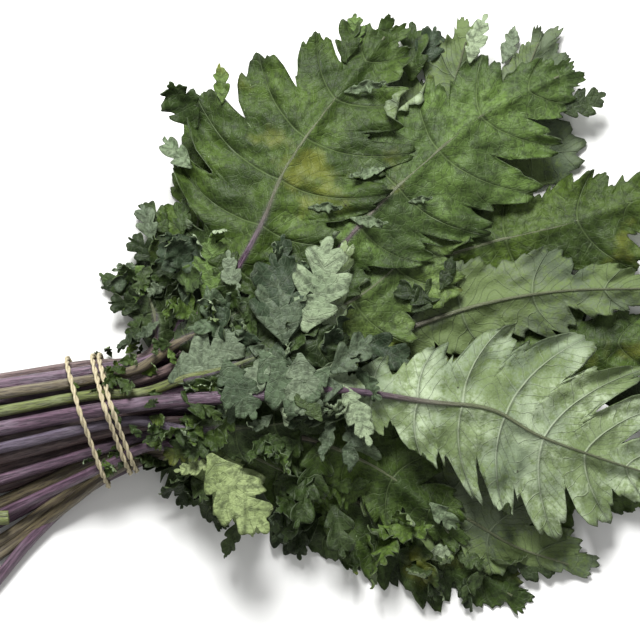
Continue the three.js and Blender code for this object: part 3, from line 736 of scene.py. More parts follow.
SPRAYS = tuple(Spray(*row) for row in (
    ((245, 350), (46, 34), 7, (46, 74), 150, 70, BLUE_GREEN),
    ((250, 345), (46, 34), 5, (40, 60), 150, 70, FOREST_GREEN),
    ((285, 400), (46, 24), 5, (44, 70), 200, 80, BLUE_GREEN),
    ((285, 400), (46, 24), 3, (40, 60), 200, 80, GREY_LEAFLET),
    ((222, 402), (30, 24), 7, (26, 44), 170, 60, MID_GREEN),
    ((345, 415), (28, 30), 6, (36, 60), 240, 60, GREY_LEAFLET),
    ((340, 352), (30, 18), 5, (40, 60), 60, 60, BLUE_GREEN),
    ((185, 268), (36, 32), 10, (34, 60), 130, 60, BLUE_GREEN),
    ((190, 262), (36, 32), 6, (34, 56), 130, 60, FOREST_GREEN),
    ((148, 292), (20, 36), 9, (26, 44), 150, 60, DEEP_GREEN),
    ((145, 300), (20, 36), 7, (28, 44), 150, 60, FOREST_GREEN),
    ((150, 290), (22, 40), 5, (30, 46), 150, 60, GREY_LEAFLET),
    ((200, 308), (26, 22), 7, (30, 48), 120, 60, MID_GREEN),
    ((158, 345), (20, 10), 4, (14, 24), 170, 60, FOREST_GREEN),
    ((200, 430), (40, 14), 10, (22, 38), 190, 60, MID_GREEN),
    ((270, 438), (34, 12), 6, (34, 54), 250, 60, FOREST_GREEN),
    ((335, 480), (40, 22), 8, (40, 66), 260, 50, MID_GREEN),
    ((180, 474), (22, 12), 7, (24, 40), 220, 50, DEEP_GREEN),
    ((300, 512), (40, 20), 8, (36, 60), 250, 50, DEEP_GREEN),
    ((395, 540), (50, 24), 8, (40, 66), 270, 50, MID_GREEN),
    ((470, 565), (50, 18), 8, (34, 58), 300, 50, DEEP_GREEN),
    ((300, 300), (26, 36), 4, (34, 56), 100, 60, BLUE_GREEN),
    ((122, 378), (14, 12), 8, (10, 18), 180, 90, BRIGHT_GREEN, 2.0),
    ((92, 388), (26, 5), 8, (8, 14), 180, 90, MID_GREEN, 1.5),
    ((110, 458), (20, 10), 7, (12, 20), 200, 90, MID_GREEN, 1.5),
))
SPRIGS = tuple(Sprig(*row) for row in (
    ((108, 358), 115, 22, DEEP_GREEN, 3),
    ((122, 354), 40, 24, BRIGHT_GREEN, 1),
    ((99, 357), 160, 16, DEEP_GREEN, 7),
    ((78, 392), 150, 15, BRIGHT_GREEN, 3),
    ((122, 376), 200, 24, BRIGHT_GREEN, 5),
    ((112, 380), 95, 18, BRIGHT_GREEN, 1),
    ((118, 378), -35, 40, MID_GREEN, 3),
    ((118, 362), 8, 40, MID_GREEN, 3),
    ((142, 374), 25, 30, BRIGHT_GREEN, 7),
    ((150, 392), -10, 14, BRIGHT_GREEN, 0),
    ((114, 402), -80, 26, MID_GREEN, 6),
    ((130, 424), -40, 18, MID_GREEN, 2),
    ((146, 406), 20, 20, DEEP_GREEN, 1),
    ((150, 416), -22, 30, BRIGHT_GREEN, 7),
    ((146, 442), -6, 34, BRIGHT_GREEN, 3),
    ((101, 478), 40, 34, MID_GREEN, 3),
    ((118, 470), 60, 20, DEEP_GREEN, 6),
    ((137, 458), -25, 22, MID_GREEN, 5),
    ((204, 378), 215, 28, BRIGHT_GREEN, 7, 12),
    ((184, 380), -50, 22, PALE_LEAFLET, 3, 10),
    ((205, 404), -35, 24, BRIGHT_GREEN, 2),
    ((206, 418), 222, 50, MID_GREEN, 3),
    ((200, 438), -8, 36, BRIGHT_GREEN, 5),
    ((232, 426), 95, 48, BLUE_GREEN, 1),
    ((183, 302), 80, 42, GREY_LEAFLET, 2),
    ((238, 252), 226, 44, BRIGHT_GREEN, 4),
    ((212, 334), 80, 36, BRIGHT_GREEN, 3, 14),
    ((186, 330), 40, 40, MID_GREEN, 6),
    ((240, 298), 190, 32, BRIGHT_GREEN, 5),
    ((268, 300), 150, 36, BRIGHT_GREEN, 2),
    ((286, 346), 92, 92, BLUE_GREEN, 4),
    ((225, 334), 25, 46, GREY_LEAFLET, 3),
    ((249, 346), -85, 52, BLUE_GREEN, 6),
    ((250, 346), -30, 26, GREY_LEAFLET, 0),
    ((264, 358), -45, 52, BLUE_GREEN, 1),
    ((268, 352), 15, 44, BRIGHT_GREEN, 3),
    ((300, 360), -75, 40, MID_GREEN, 7),
    ((298, 396), -25, 44, PALE_LEAFLET, 9),
    ((328, 374), 30, 52, BLUE_GREEN, 9),
    ((324, 384), -58, 60, PALE_LEAFLET, 7),
    ((345, 425), -50, 56, PALE_LEAFLET, 2),
    ((300, 430), 230, 44, BRIGHT_GREEN, 4),
    ((320, 442), -104, 62, MID_GREEN, 0),
    ((308, 208), 4, 42, PALE_LEAFLET, 9, 0, 10, 1),
    ((350, 218), -16, 46, PALE_LEAFLET, 9, 0, -10, 1),
    ((408, 202), 14, 30, PALE_LEAFLET, 9, 0, 10, 1),
    ((344, 92), 16, 52, PALE_LEAFLET, 9, 0, 10, 1),
    ((385, 168), 200, 46, PALE_LEAFLET, 9, 0, 10, 1),
    ((432, 302), 160, 44, DEEP_GREEN, 2, 4, 0, 3),
    ((440, 290), 60, 40, DEEP_GREEN, 6, 4, 0, 3),
    ((412, 312), 40, 44, DEEP_GREEN, 0, 4, 0, 3),
    ((304, 332), 66, 96, PALE_LEAFLET, 10, 3, 0, 6),
    ((286, 345), 96, 70, GREY_LEAFLET, 4, 4, 0, 4),
    ((330, 372), 35, 56, GREY_LEAFLET, 0, 4, 0, 5),
    ((150, 240), 100, 40, GREY_LEAFLET, 0, 4, 0, 4),
    ((192, 168), 140, 44, PALE_LEAFLET, 2, 4, 0, 4),
    ((430, 504), -40, 40, PALE_LEAFLET, 2, 4, 10, 4),
    ((425, 560), 10, 44, PALE_LEAFLET, 8, 4, 10, 4),
    ((268, 520), -40, 56, GREY_LEAFLET, 6, 4, 0, 4),
    # Two flat leaflets over leaf 21, in its pale green painted brighter against shade.
    ((210, 452), -62, 96, PALE_GREEN_PAINTED_BRIGHTER, 10, 1, 0, 9),
    ((214, 460), -158, 40, PALE_GREEN_PAINTED_BRIGHTER, 11, 1, 0, 9),
    ((342, 384), -58, 66, PALE_LEAFLET, 11, 0, 0, 4),
    ((170, 380), 24, 88, GREY_LEAFLET, 10, 1, 0, 1),
    ((205, 300), 74, 64, FOREST_GREEN, 10, 2, 0, 3),
    ((238, 300), 108, 50, GREY_LEAFLET, 11, 2, 0, 3),
    ((596, 396), 2, 70, DEEP_GREEN, 10, 0, 0, -16),
    ((560, 108), 10, 50, DEEP_GREEN, 10, 0, 0, -3),
    ((470, 62), 78, 52, PALE_LEAFLET, 11, 2, 0, 2),
    ((500, 556), -20, 66, DEEP_GREEN, 10, 0, 0, -2),
    ((352, 48), 76, 36, FOREST_GREEN, 10, 1, 0, 0),
    ((226, 358), -72, 66, BLUE_GREEN, 10, 0, 0, 10),
    ((272, 352), -120, 66, GREY_LEAFLET, 11, 0, 0, 10),
    ((262, 350), -62, 78, BLUE_GREEN, 10, 0, 0, 10),
    ((300, 352), -88, 66, GREY_LEAFLET, 10, 0, 0, 10),
    ((322, 420), 128, 56, DEEP_GREEN, 11, 0, 0, 10),
    ((330, 366), -128, 62, BLUE_GREEN, 11, 0, 0, 10),
    ((412, 78), 82, 62, MID_GREEN, 0, 4),
    ((420, 62), 60, 44, BLUE_GREEN, 4, 4),
    ((345, 62), 86, 50, BRIGHT_GREEN, 2, 2),
    ((196, 128), 118, 60, MID_GREEN, 5, 2),
    ((222, 104), 88, 44, MID_GREEN, 8, 2),
    ((166, 232), 130, 42, MID_GREEN, 4, 2),
    ((240, 522), -120, 44, DEEP_GREEN, 8, 2),
    ((272, 515), -60, 52, DEEP_GREEN, 4, 2),
    ((505, 60), 65, 44, GREY_LEAFLET, 8, 2),
))


class Frame:
    """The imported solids, ready to be asked where they lie."""

    def __init__(self, nodes: dict) -> None:
        """Keeps each node's triangles.

        Args:
            nodes: The frame's node objects by name.
        """
        self.meshes = {}
        for name, node in nodes.items():
            count = len(node.data.vertices)
            places = np.empty(count * 3, np.float32)
            node.data.vertices.foreach_get("co", places)
            corners = [tuple(face.vertices) for face in node.data.polygons]
            self.meshes[name] = (places.reshape(-1, 3).astype(float), corners)

    def tree(self, keep: object) -> BVHTree:
        """Joins some nodes into one search tree.

        Args:
            keep: A test of a node's name.

        Returns:
            The tree of every node that passes it.
        """
        places, faces, start = [], [], 0
        for name, (points, corners) in self.meshes.items():
            if keep(name):
                places.extend(map(tuple, points))
                faces.extend(tuple(v + start for v in face) for face in corners)
                start += len(points)
        return BVHTree.FromPolygons(places, faces)

    def heights(self, name: str, plan: np.ndarray) -> np.ndarray:
        """Reads the mid height of a blade at the plan places of its own corners.

        Args:
            name: The blade's node.
            plan: An (n, 2) array of the corners' places.

        Returns:
            Heights, one for each place.
        """
        points = self.meshes[name][0]
        tree = KDTree(len(points))
        for i, point in enumerate(points):
            tree.insert((point[0], point[1], 0), i)
        tree.balance()
        found = []
        for x, y in plan:
            near = tree.find_n((x, y, 0), 24)
            best = near[0][2]
            zs = [points[i][2] for _, i, apart in near if apart < best + 0.05 * MM]
            found.append((min(zs) + max(zs)) / 2)
        return np.array(found)


class CentreLine:
    """A leaf's centre line, measured from the cut end of its stalk."""

    def __init__(self, leaf: LeafPlan) -> None:
        """Lays the line on the plan, by the same rule as the solids.

        Args:
            leaf: The leaf that it belongs to.
        """
        at_tie = on_plan(TIE_PIXEL)[0] + ACROSS * leaf.tie * MM
        slope = math.radians(leaf.splay)
        back = -np.array([math.cos(slope), math.sin(slope)]) * leaf.tail * MM
        first = np.array([at_tie + back, at_tie + back / 2, at_tie])
        self.points = spline(np.vstack([first, on_plan(leaf.petiole), on_plan(leaf.midrib)]))
        steps = np.diff(self.points, axis=0)
        lengths = np.linalg.norm(steps, axis=1)
        self.lengths = np.concatenate([[0], np.cumsum(lengths)])
        self.ways = steps / lengths[:, None]
        self.total = self.lengths[-1]
        self.blade_start = self.lengths[(3 + len(leaf.petiole)) * SPLINE_STEPS]
        self.radius = leaf.radius * MM

    def at(self, s: np.ndarray) -> np.ndarray:
        """Plan places at lengths s."""
        return np.column_stack([np.interp(s, self.lengths, self.points[:, i]) for i in (0, 1)])

    def solid_way(self, s: np.ndarray) -> np.ndarray:
        """Directions at lengths s, as the solids have them."""
        return self.ways[np.clip(np.searchsorted(self.lengths, s) - 1, 0, len(self.ways) - 1)]

    def smooth_way(self, s: np.ndarray, reach: float) -> np.ndarray:
        """Directions at lengths s, taken over a reach ahead and behind so that they turn gently."""
        ahead, behind = self.at(np.minimum(s + reach, self.total)), self.at(np.maximum(s - reach, 0))
        way = ahead - behind
        return way / np.linalg.norm(way, axis=1)[:, None]

    def girth(self, s: np.ndarray) -> np.ndarray:
        """Radius of the stalk and midrib at lengths s."""
        u = np.clip((s - self.blade_start) / (self.total - self.blade_start), 0, 1)
        stalk = self.radius * (1 - 0.16 * np.minimum(1, s / self.blade_start))
        return TIP_RADIUS + (stalk - TIP_RADIUS) * (1 - u) ** 1.8

    def stalk_heights(self, frame: Frame, name: str) -> None:
        """Reads the height of the stalk's middle from its node.

        Args:
            frame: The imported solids.
            name: The stem's node.
        """
        tree = frame.tree(lambda other: other == name)
        self.knots = np.linspace(0.4 * MM, self.total - 0.4 * MM, max(8, int(self.total / (9 * MM))))
        middles = []
        for x, y in self.at(self.knots):
            top = tree.ray_cast(Vector((x, y, 1)), DOWN)[0]
            low = tree.ray_cast(Vector((x, y, -1)), UP)[0]
            middles.append((top.z + low.z) / 2 if top and low else math.nan)
        middles = np.array(middles)
        known = ~np.isnan(middles)
        middles = np.interp(self.knots, self.knots[known], middles[known])
        self.middles = smoothed(middles, 3)

    def height(self, s: np.ndarray) -> np.ndarray:
        """Height of the stalk's middle at lengths s."""
        return np.interp(s, self.knots, self.middles)


@dataclass
class Sheet:
    """A thin sheet with a middle surface, given as plan and height arrays over a grid of shared corners."""

    corners: np.ndarray
    quads: np.ndarray
    facts: dict
    thickness: float = 0.55 * MM

    def mesh(self, name: str, under_up: bool) -> bpy.types.Mesh:
        """Closes the sheet into a mesh with a wall round its edge.

        Args:
            name: The mesh's name.
            under_up: True if the leaf's underside lies upwards.

        Returns:
            The mesh, with the leaf_place and leaf_more attributes.
        """
        triangles = np.vstack([self.quads[:, [0, 1, 2]], self.quads[:, [0, 2, 3]]])
        a, b, c = (self.corners[triangles[:, i]] for i in range(3))
        whole = (triangles[:, 0] != triangles[:, 1]) & (triangles[:, 1] != triangles[:, 2])
        whole &= triangles[:, 0] != triangles[:, 2]
        facing = np.cross(b - a, c - a)
        normals = np.zeros_like(self.corners)
        for i in range(3):
            np.add.at(normals, triangles[whole, i], facing[whole])
        size = np.linalg.norm(normals, axis=1)[:, None]
        normals = np.where(size > 0, normals / np.maximum(size, 1e-12), [0, 0, 1])
        count = len(self.corners)
        places = np.vstack([self.corners + normals * self.thickness / 2, self.corners - normals * self.thickness / 2])
        faces = []
        edges = {}
        for quad in self.quads.tolist():
            ring = [v for i, v in enumerate(quad) if v != quad[i - 1]]
            if len(ring) < 3:
                continue
            faces.append(ring)
            faces.append([v + count for v in reversed(ring)])
            for p, q in zip(ring, ring[1:] + ring[:1]):
                if (q, p) in edges:
                    del edges[(q, p)]
                else:
                    edges[(p, q)] = True
        faces.extend([p, p + count, q + count, q] for p, q in edges)
        made = bpy.data.meshes.new(name)
        made.from_pydata(places.tolist(), [], faces)
        made.validate()
        made.shade_smooth()
        top, low = (1.0, 0.0) if under_up else (0.0, 1.0)
        sides = np.concatenate([np.full(count, top), np.full(count, low)])
        both = {key: np.concatenate([value, value]) for key, value in self.facts.items()}
        for key, parts in (
            ("leaf_place", (both["gap"], both["ray"], both["out"])),
            ("leaf_more", (both["along"], sides, both["tint"])),
        ):
            layer = made.attributes.new(key, "FLOAT_VECTOR", "POINT")
            layer.data.foreach_set("vector", np.column_stack(parts).astype(np.float32).ravel())
        return made


def fan_sheet(points: np.ndarray, facts: dict, fan_from: int, thickness: float = 0.55 * MM) -> Sheet:
    """Joins a leaf's grid into one sheet. The tip's fan columns share the midrib's end and meet ahead of it.

    Args:
        points: A (columns, rows, 3) array of places, with the midrib in the middle row.
        facts: Values for the material over the grid.
        fan_from: The first column of the fan.
        thickness: Thickness of the sheet.

    Returns:
        The sheet.
    """
    columns, width = points.shape[:2]
    rows = width // 2
    index = np.arange(columns * width).reshape(columns, width)
    index[fan_from:, rows] = index[fan_from - 1, rows]
    index[-1, :rows] = index[-1, : rows : -1]
    quads = np.stack([index[:-1, :-1], index[1:, :-1], index[1:, 1:], index[:-1, 1:]], axis=-1).reshape(-1, 4)
    used, compact = np.unique(quads, return_inverse=True)
    kept = {key: np.ascontiguousarray(value).reshape(-1)[used] for key, value in facts.items()}
    return Sheet(points.reshape(-1, 3)[used], compact.reshape(-1, 4), kept, thickness)


@dataclass
class Blade:
    """The green blade of one leaf: lobes, teeth, ruffled edge, rolls and swellings between its veins.

    Its surface is laid as a cloth over the midrib, from 0 at the midrib to 1 at the smooth outline, and then cut
    along the lobed edge, so that no cut bends it.
    """

    number: int
    leaf: LeafPlan
    line: CentreLine
    frame: Frame
    column_pitch: float = 1.15 * MM
    ruffle_wave: float = 34 * MM
    bulge: float = 1.0 * MM
    crease: float = 0.75 * MM
    ridge: float = 0.6 * MM
    bow: float = 0.42
    fan: int = 16
    cloth_rows: int = 26
    cloth_reach: float = 1.2

    def __post_init__(self) -> None:
        """Sets the sizes that follow from the leaf."""
        self.covered = self.number in MOSTLY_COVERED
        if self.covered:
            self.column_pitch *= 1.5
        self.count = len(self.leaf.left)
        self.span = self.line.total - self.line.blade_start - 4 * MM
        self.pitch = self.span / self.count
        self.per_lobe = max(8, 2 * int(round(self.pitch / self.column_pitch / 2)))
        self.u = np.linspace(0, 1, self.count * self.per_lobe + 1)
        self.size = min(1.0, max(self.leaf.left + self.leaf.right) / 40)
        self.fan_share = np.arange(1, self.fan + 1) / self.fan
        self.tip_reach = 0.85 * self.leaf.left[-1] * MM
        self.whole = np.concatenate([self.u, np.ones(self.fan)])
        self.lobe = self.whole * self.count

    def envelope(self, side: int) -> np.ndarray:
        """Smooth outline of one side, without cuts, over the columns and the tip's fan."""
        sizes = np.array(self.leaf.left if side > 0 else self.leaf.right, float) * MM
        knots = np.concatenate([[0], np.arange(self.count) + 0.5, [self.count]])
        values = np.concatenate([[0.7 * sizes[0]], sizes, [0.85 * sizes[-1]]])
        plain = smoothed(np.interp(self.u * self.count, knots, values), self.per_lobe // 2)
        fan = plain[-1] + (self.tip_reach - plain[-1]) * ease(self.fan_share)
        return np.concatenate([plain, fan])

    def edge(self, side: int, envelope: np.ndarray) -> np.ndarray:
        """Lobed and toothed edge of one side.

        Args:
            side: 1 for left and -1 for right.
            envelope: The smooth outline.

        Returns:
            The reach of the edge along each ray, in metres.
        """
        rng = np.random.default_rng(self.number * 7 + side)
        fan_at = np.concatenate([np.zeros(len(self.u)), self.fan_share])
        run = self.lobe + 0.9 * fan_at
        cuts = np.arange(self.count + 1) + rng.uniform(-0.16, 0.16, self.count + 1)
        depths = BASE_CUT + (TIP_CUT - BASE_CUT) * ease(1.4 * np.arange(self.count + 1) / self.count)
        depths = depths * rng.uniform(0.25, 0.66, self.count + 1)
        cuts[0], depths[0] = 0, 0.85
        width = (2.0 + 1.0 * self.size) * MM
        notch = np.zeros(len(run))
        for cut, depth in zip(cuts, depths):
            apart = np.abs(run - cut) * self.pitch
            notch = np.maximum(notch, depth * np.exp(-((apart / (width * rng.uniform(0.8, 1.3))) ** 1.7)))
        part = np.mod(run, 1.0)
        crown = 1 - 0.12 * np.abs(2 * part - 1) ** 2.5 - 0.26 * np.clip((part - 0.58) / 0.42, 0, 1) ** 1.6
        teeth = np.clip(self.pitch / (9.5 * MM), 2, 4)
        sway = 0.22 * np.sin(run * 2.3 + rng.uniform(0, 6))
        blunt_at = run * teeth + sway + rng.uniform(0, 1)
        blunt_size = rng.uniform(0.45, 1.25, 64)[np.clip(blunt_at.astype(int), 0, 63)]
        blunt = (1 - tooth(blunt_at, 2.2)) * blunt_size * np.minimum(0.17 * envelope, 5.5 * MM)
        fine = (1 - tooth(run * teeth * 2.7 + 2 * sway, 1.6)) * np.minimum(0.05 * envelope, 1.3 * MM)
        return np.maximum(envelope * crown * (1 - notch) * 1.06 - (blunt + fine) * (1 - 0.7 * notch), 1.2 * MM)

    def cloth_heights(self, envelopes: dict) -> dict:
        """Lays the cloth at the solid blade's heights.

        Args:
            envelopes: The smooth outline by side.

        Returns:
            By side, heights over the columns and the cloth's rows.
        """
        leaf, line = self.leaf, self.line
        rows = 3 if max(leaf.left + leaf.right) > 24 else 2
        stations = np.array([(lobe + f) / self.count for lobe in range(self.count) for f in LOBE_SAMPLES] + [1.0])
        s = line.blade_start + stations * self.span
        places, ways = line.at(s), line.solid_way(s)
        sweep = BASE_SWEEP + (TIP_SWEEP - BASE_SWEEP) * stations**2
        name = f"blade_{self.number:02d}"
        end = places[-1] + 0.55 * leaf.left[-1] * MM * ways[-1]
        tip = float(self.frame.heights(name, end[None])[0])
        shares = np.arange(rows + 1) / rows
        q = np.linspace(0, self.cloth_reach, self.cloth_rows)
        found = {}
        for side in (1, -1):
            reach = self.solid_reach(leaf.left if side > 0 else leaf.right, stations)
            spots = places[:, None] + (reach[:, None] * shares)[:, :, None] * turned(ways, side * sweep)[:, None]
            heights = self.frame.heights(name, spots.reshape(-1, 2)).reshape(len(stations), rows + 1)
            over_u = np.column_stack([np.interp(self.u, stations, heights[:, k]) for k in range(rows + 1)])
            solid = np.interp(self.u, stations, reach)
            envelope = envelopes[side]
            cloth = np.empty((len(self.u), len(q)))
            for j in range(len(self.u)):
                cloth[j] = np.interp(q * envelope[j] / solid[j], shares, over_u[j])
            ends = cloth[-1] + (cloth[-1][0] + (tip - cloth[-1][0]) * np.minimum(q, 1) - cloth[-1]) * (
                ease(self.fan_share)[:, None]
            )
            cloth = np.vstack([cloth, ends])
            found[side] = smoothed(smoothed(cloth, int(self.per_lobe * 0.55)), 3, axis=1)
        return found

    @staticmethod
    def solid_reach(lobes: tuple, u: np.ndarray) -> np.ndarray:
        """Reach of the solid blade at places u along it, by the solids' own rule."""
        sizes = np.array(lobes, float) * MM
        count = len(sizes)
        k = np.minimum(u * count, count - 1e-6)
        i = k.astype(int)
        part = k - i
        cut = BASE_CUT + (TIP_CUT - BASE_CUT) * ease(1.4 * u)
        fill = np.sin(math.pi * np.minimum(1, part * 0.82 + np.where(part > 0.5, 0.09, 0))) ** 0.6
        near = np.where(part < 0.5, sizes[np.maximum(i - 1, 0)], sizes[np.minimum(i + 1, count - 1)])
        envelope = sizes[i] + (near - sizes[i]) * np.abs(part - 0.5)
        return envelope * (1 - cut * (1 - np.minimum(1, fill)))

    def room(self, plan: np.ndarray, z: np.ndarray) -> tuple[np.ndarray, np.ndarray]:
        """Free height over and under the blade among the other solids.

        Args:
            plan: A (columns, rows, 2) array of plan places.
            z: The blade's heights there.

        Returns:
            Free height above and below, at every place.
        """
        own = (f"blade_{self.number:02d}", f"stem_{self.number:02d}")
        tree = self.frame.tree(lambda name: name not in own)
        most = 60 * MM
        js = list(range(0, z.shape[0] - 1, 3)) + [z.shape[0] - 1]
        ks = list(range(0, z.shape[1] - 1, 2)) + [z.shape[1] - 1]
        up, down = np.zeros((len(js), len(ks))), np.zeros((len(js), len(ks)))
        for a, j in enumerate(js):
            for b, k in enumerate(ks):
                spot = Vector((plan[j, k, 0], plan[j, k, 1], z[j, k]))
                hit = tree.ray_cast(spot, UP, most)
                up[a, b] = hit[3] if hit[0] else most
                hit = tree.ray_cast(spot, DOWN, most)
                down[a, b] = min(hit[3] if hit[0] else most, z[j, k])
        found = []
        for gaps in (up, down):
            padded = np.pad(gaps, 1, mode="edge")
            least = np.min([padded[i : i + len(js), k : k + len(ks)] for i in range(3) for k in range(3)], axis=0)
            wide = np.array([np.interp(range(z.shape[0]), js, least[:, b]) for b in range(len(ks))])
            found.append(np.array([np.interp(range(z.shape[1]), ks, column) for column in wide.T]))
        return found[0], found[1]

    def sheet(self) -> Sheet:
        """Builds the blade's middle surface.

        Returns:
            The sheet with its facts for the material.
        """
        leaf, line = self.leaf, self.line
        most = max(leaf.left + leaf.right)
        rows = int(np.clip(most / 2.9 + 4, 8, 26) * (0.72 if self.covered else 0.95))
        outs = np.arange(-rows, rows + 1) / rows
        s = line.blade_start + self.u * self.span
        ways = line.smooth_way(s, (10 + 16 * self.size) * MM)
        ways = np.vstack([ways, np.repeat(ways[-1:], self.fan, 0)])
        middles = np.vstack([line.at(s), np.repeat(line.at(s[-1:]), self.fan, 0)])
        turn = BASE_SWEEP + (TIP_SWEEP - BASE_SWEEP) * self.u**2
        turn = np.concatenate([turn, TIP_SWEEP * (1 - self.fan_share)])
        bow = self.bow * np.concatenate([np.ones(len(self.u)), 1 - self.fan_share])
        envelopes = {side: self.envelope(side) for side in (1, -1)}
        cloths = self.cloth_heights(envelopes)
        cloth_q = np.linspace(0, self.cloth_reach, self.cloth_rows)
        shape = (len(middles), len(outs))
        plan, rays, shares, edges = np.zeros((*shape, 2)), np.zeros(shape), np.zeros(shape), np.zeros(shape)
        base, rolled = np.zeros(shape), np.zeros(shape)
        for side in (1, -1):
            envelope = envelopes[side]
            edge = self.edge(side, envelope)
            rays_way = turned(ways, turn * side)
            for k, out in enumerate(outs):
                if out * side > 0 or (out == 0 and side > 0):
                    reach = edge * abs(out)
                    q = reach / envelope
                    flat, raised = self.roll(side, q, envelope)
                    bent = bow * envelope * (q * q - q)
                    plan[:, k] = middles + rays_way * flat[:, None] + ways * bent[:, None]
                    rays[:, k], shares[:, k], edges[:, k], rolled[:, k] = reach, q, edge - reach, raised
                    at = np.clip(q, 0, self.cloth_reach) / self.cloth_reach * (self.cloth_rows - 1)
                    low = np.minimum(at.astype(int), self.cloth_rows - 2)
                    j = np.arange(len(q))
                    base[:, k] = cloths[side][j, low] * (1 - at + low) + cloths[side][j, low + 1] * (at - low)
        lengths = np.concatenate([s, np.full(self.fan, s[-1])])
        rib = line.height(lengths)
        proud = 0.5 if leaf.face is Face.UNDER else -0.45
        lift = np.maximum(0, rib - proud * line.girth(lengths) - base[:, rows])
        spread = 1.3 * line.girth(lengths)[:, None] + 4 * MM
        base = base + lift[:, None] * np.exp(-((rays / spread) ** 2))
        above, below = self.room(plan, base)
        base = base + self.waves(plan, rays, shares, edges, outs, above, below) + rolled
        base = np.maximum(base, 0.4 * MM)
        return self.close(plan, base, rays, outs)

    def roll(self, side: int, q: np.ndarray, envelope: np.ndarray) -> tuple[np.ndarray, np.ndarray]:
        """Rolls the edge over where the leaf has a roll.

        Args:
            side: 1 for left and -1 for right.
            q: Share of the smooth outline at each column.
            envelope: The smooth outline.

        Returns:
            Distance from the midrib on the plan, and height added.
        """
        flat = q * envelope
        raised = np.zeros(len(q))
        for bend in self.leaf.rolls:
            if bend.side != side:
                continue
            window = ease(1.6 - 1.6 * np.abs(self.lobe - bend.middle) / bend.width)
            past = np.maximum(0, q - bend.start) * envelope * window
            radius = bend.radius * MM
            angle = np.minimum(past / radius, 0.92 * math.pi)
            rest = past - angle * radius
            flat = flat - past + radius * np.sin(angle) + rest * np.cos(angle)
            raised = raised + radius * (1 - np.cos(angle)) + rest * np.sin(angle)
        return flat, raised

    def waves(
        self,
        plan: np.ndarray,
        rays: np.ndarray,
        shares: np.ndarray,
        edges: np.ndarray,
        outs: np.ndarray,
        above: np.ndarray,
        below: np.ndarray,
    ) -> np.ndarray:
        """Ruffles, swellings, creases and curled edge, kept within the free height.

        Args:
            plan: Plan places of the grid.
            rays: Distance of each place from the midrib.
            shares: Share of the smooth outline there.
            edges: Distance of each place from the cut edge.
            outs: Shares of the reach.
            above: Free height over the blade.
            below: Free height under it.

        Returns:
            Height to add at every place of the grid.
        """
        leaf = self.leaf
        raised = np.zeros(rays.shape)
        wave = self.ruffle_wave * (0.5 + 0.5 * self.size)
        bulge_sign = -1 if leaf.face is Face.UNDER else 1
        for side in (1, -1):
            border = smoothed(plan[:, -1 if side > 0 else 0], self.per_lobe)
            steps = np.linalg.norm(np.diff(border, axis=0), axis=1)
            arc = np.concatenate([[0], np.cumsum(steps)])
            turn = 2 * math.pi * arc / wave + 1.4 * crinkle(border, 70 * MM, self.number + side + 5) + self.number
            ripple = np.sin(turn)[:, None]
            quick = np.sin(turn * 2.3 + 1.7)[:, None]
            rows = (outs * side > 0)[None, :]
            tall = leaf.ruffle * MM * self.size
            raised += rows * tall * (shares**2.2 * ripple + 0.45 * shares**4 * quick)
        part = np.abs(np.mod(self.lobe, 1) - 0.5)[:, None]
        swell = np.sin(2 * math.pi * part) * np.clip(4 * shares * (1.1 - shares), 0, 1)
        raised += bulge_sign * self.bulge * self.size * swell
        off_vein = self.off_vein(outs)
        ridge = np.exp(-((off_vein / (1.1 * MM)) ** 2)) * (1 - 0.6 * np.abs(outs)[None, :])
        raised -= bulge_sign * self.ridge * ridge * np.minimum(1, rays / (3 * MM))
        raised += self.crease * crinkle(plan, 9 * MM, self.number) * np.minimum(1, rays / (6 * MM))
        raised += 2.0 * self.crease * crinkle(plan, 24 * MM, self.number + 50) * np.minimum(1, rays / (12 * MM))
        curl = 2.2 * MM * self.size * crinkle(plan, 15 * MM, self.number + 90)
        raised += curl * np.exp(-((edges / (3.5 * MM)) ** 2))
        up = np.maximum(0.46 * above, 0.05 * MM)
        down = np.maximum(0.46 * below, 0.05 * MM)
        return np.where(raised > 0, up * np.tanh(raised / up), down * np.tanh(raised / down))

    def off_vein(self, outs: np.ndarray) -> np.ndarray:
        """Distance from each place of the grid to its nearest side vein."""
        part = np.abs(np.mod(self.lobe, 1) - 0.5)
        return part[:, None] * self.pitch * (1 + np.abs(outs)[None, :] * 0.35)

    def close(self, plan: np.ndarray, z: np.ndarray, rays: np.ndarray, outs: np.ndarray) -> Sheet:
        """Joins the grid into one sheet.

        Args:
            plan: Plan places of the grid.
            z: Heights.
            rays: Distance of each place from the midrib.
            outs: Shares of the reach.

        Returns:
            The sheet.
        """
        rng = np.random.default_rng(self.number)
        facts = {
            "gap": self.off_vein(outs) / MM,
            "ray": rays / MM,
            "out": np.broadcast_to(np.abs(outs), rays.shape),
            "along": np.broadcast_to(self.whole[:, None], rays.shape),
            "tint": np.full(rays.shape, rng.uniform(-0.08, 0.08)),
        }
        return fan_sheet(np.dstack([plan, z]), facts, len(self.u))

    def build(self, materials: dict) -> bpy.types.Object:
        """Makes the finished piece over its solid.

        Args:
            materials: Leaf materials by skin name.

        Returns:
            The piece.
        """
        under_up = self.leaf.face is Face.UNDER
        name = f"leaf_{self.number:02d}"
        piece = placed(name, self.sheet().mesh(name, under_up))
        piece.data.materials.append(materials[self.leaf.skin.name])
        return settled(piece, f"blade_{self.number:02d}")


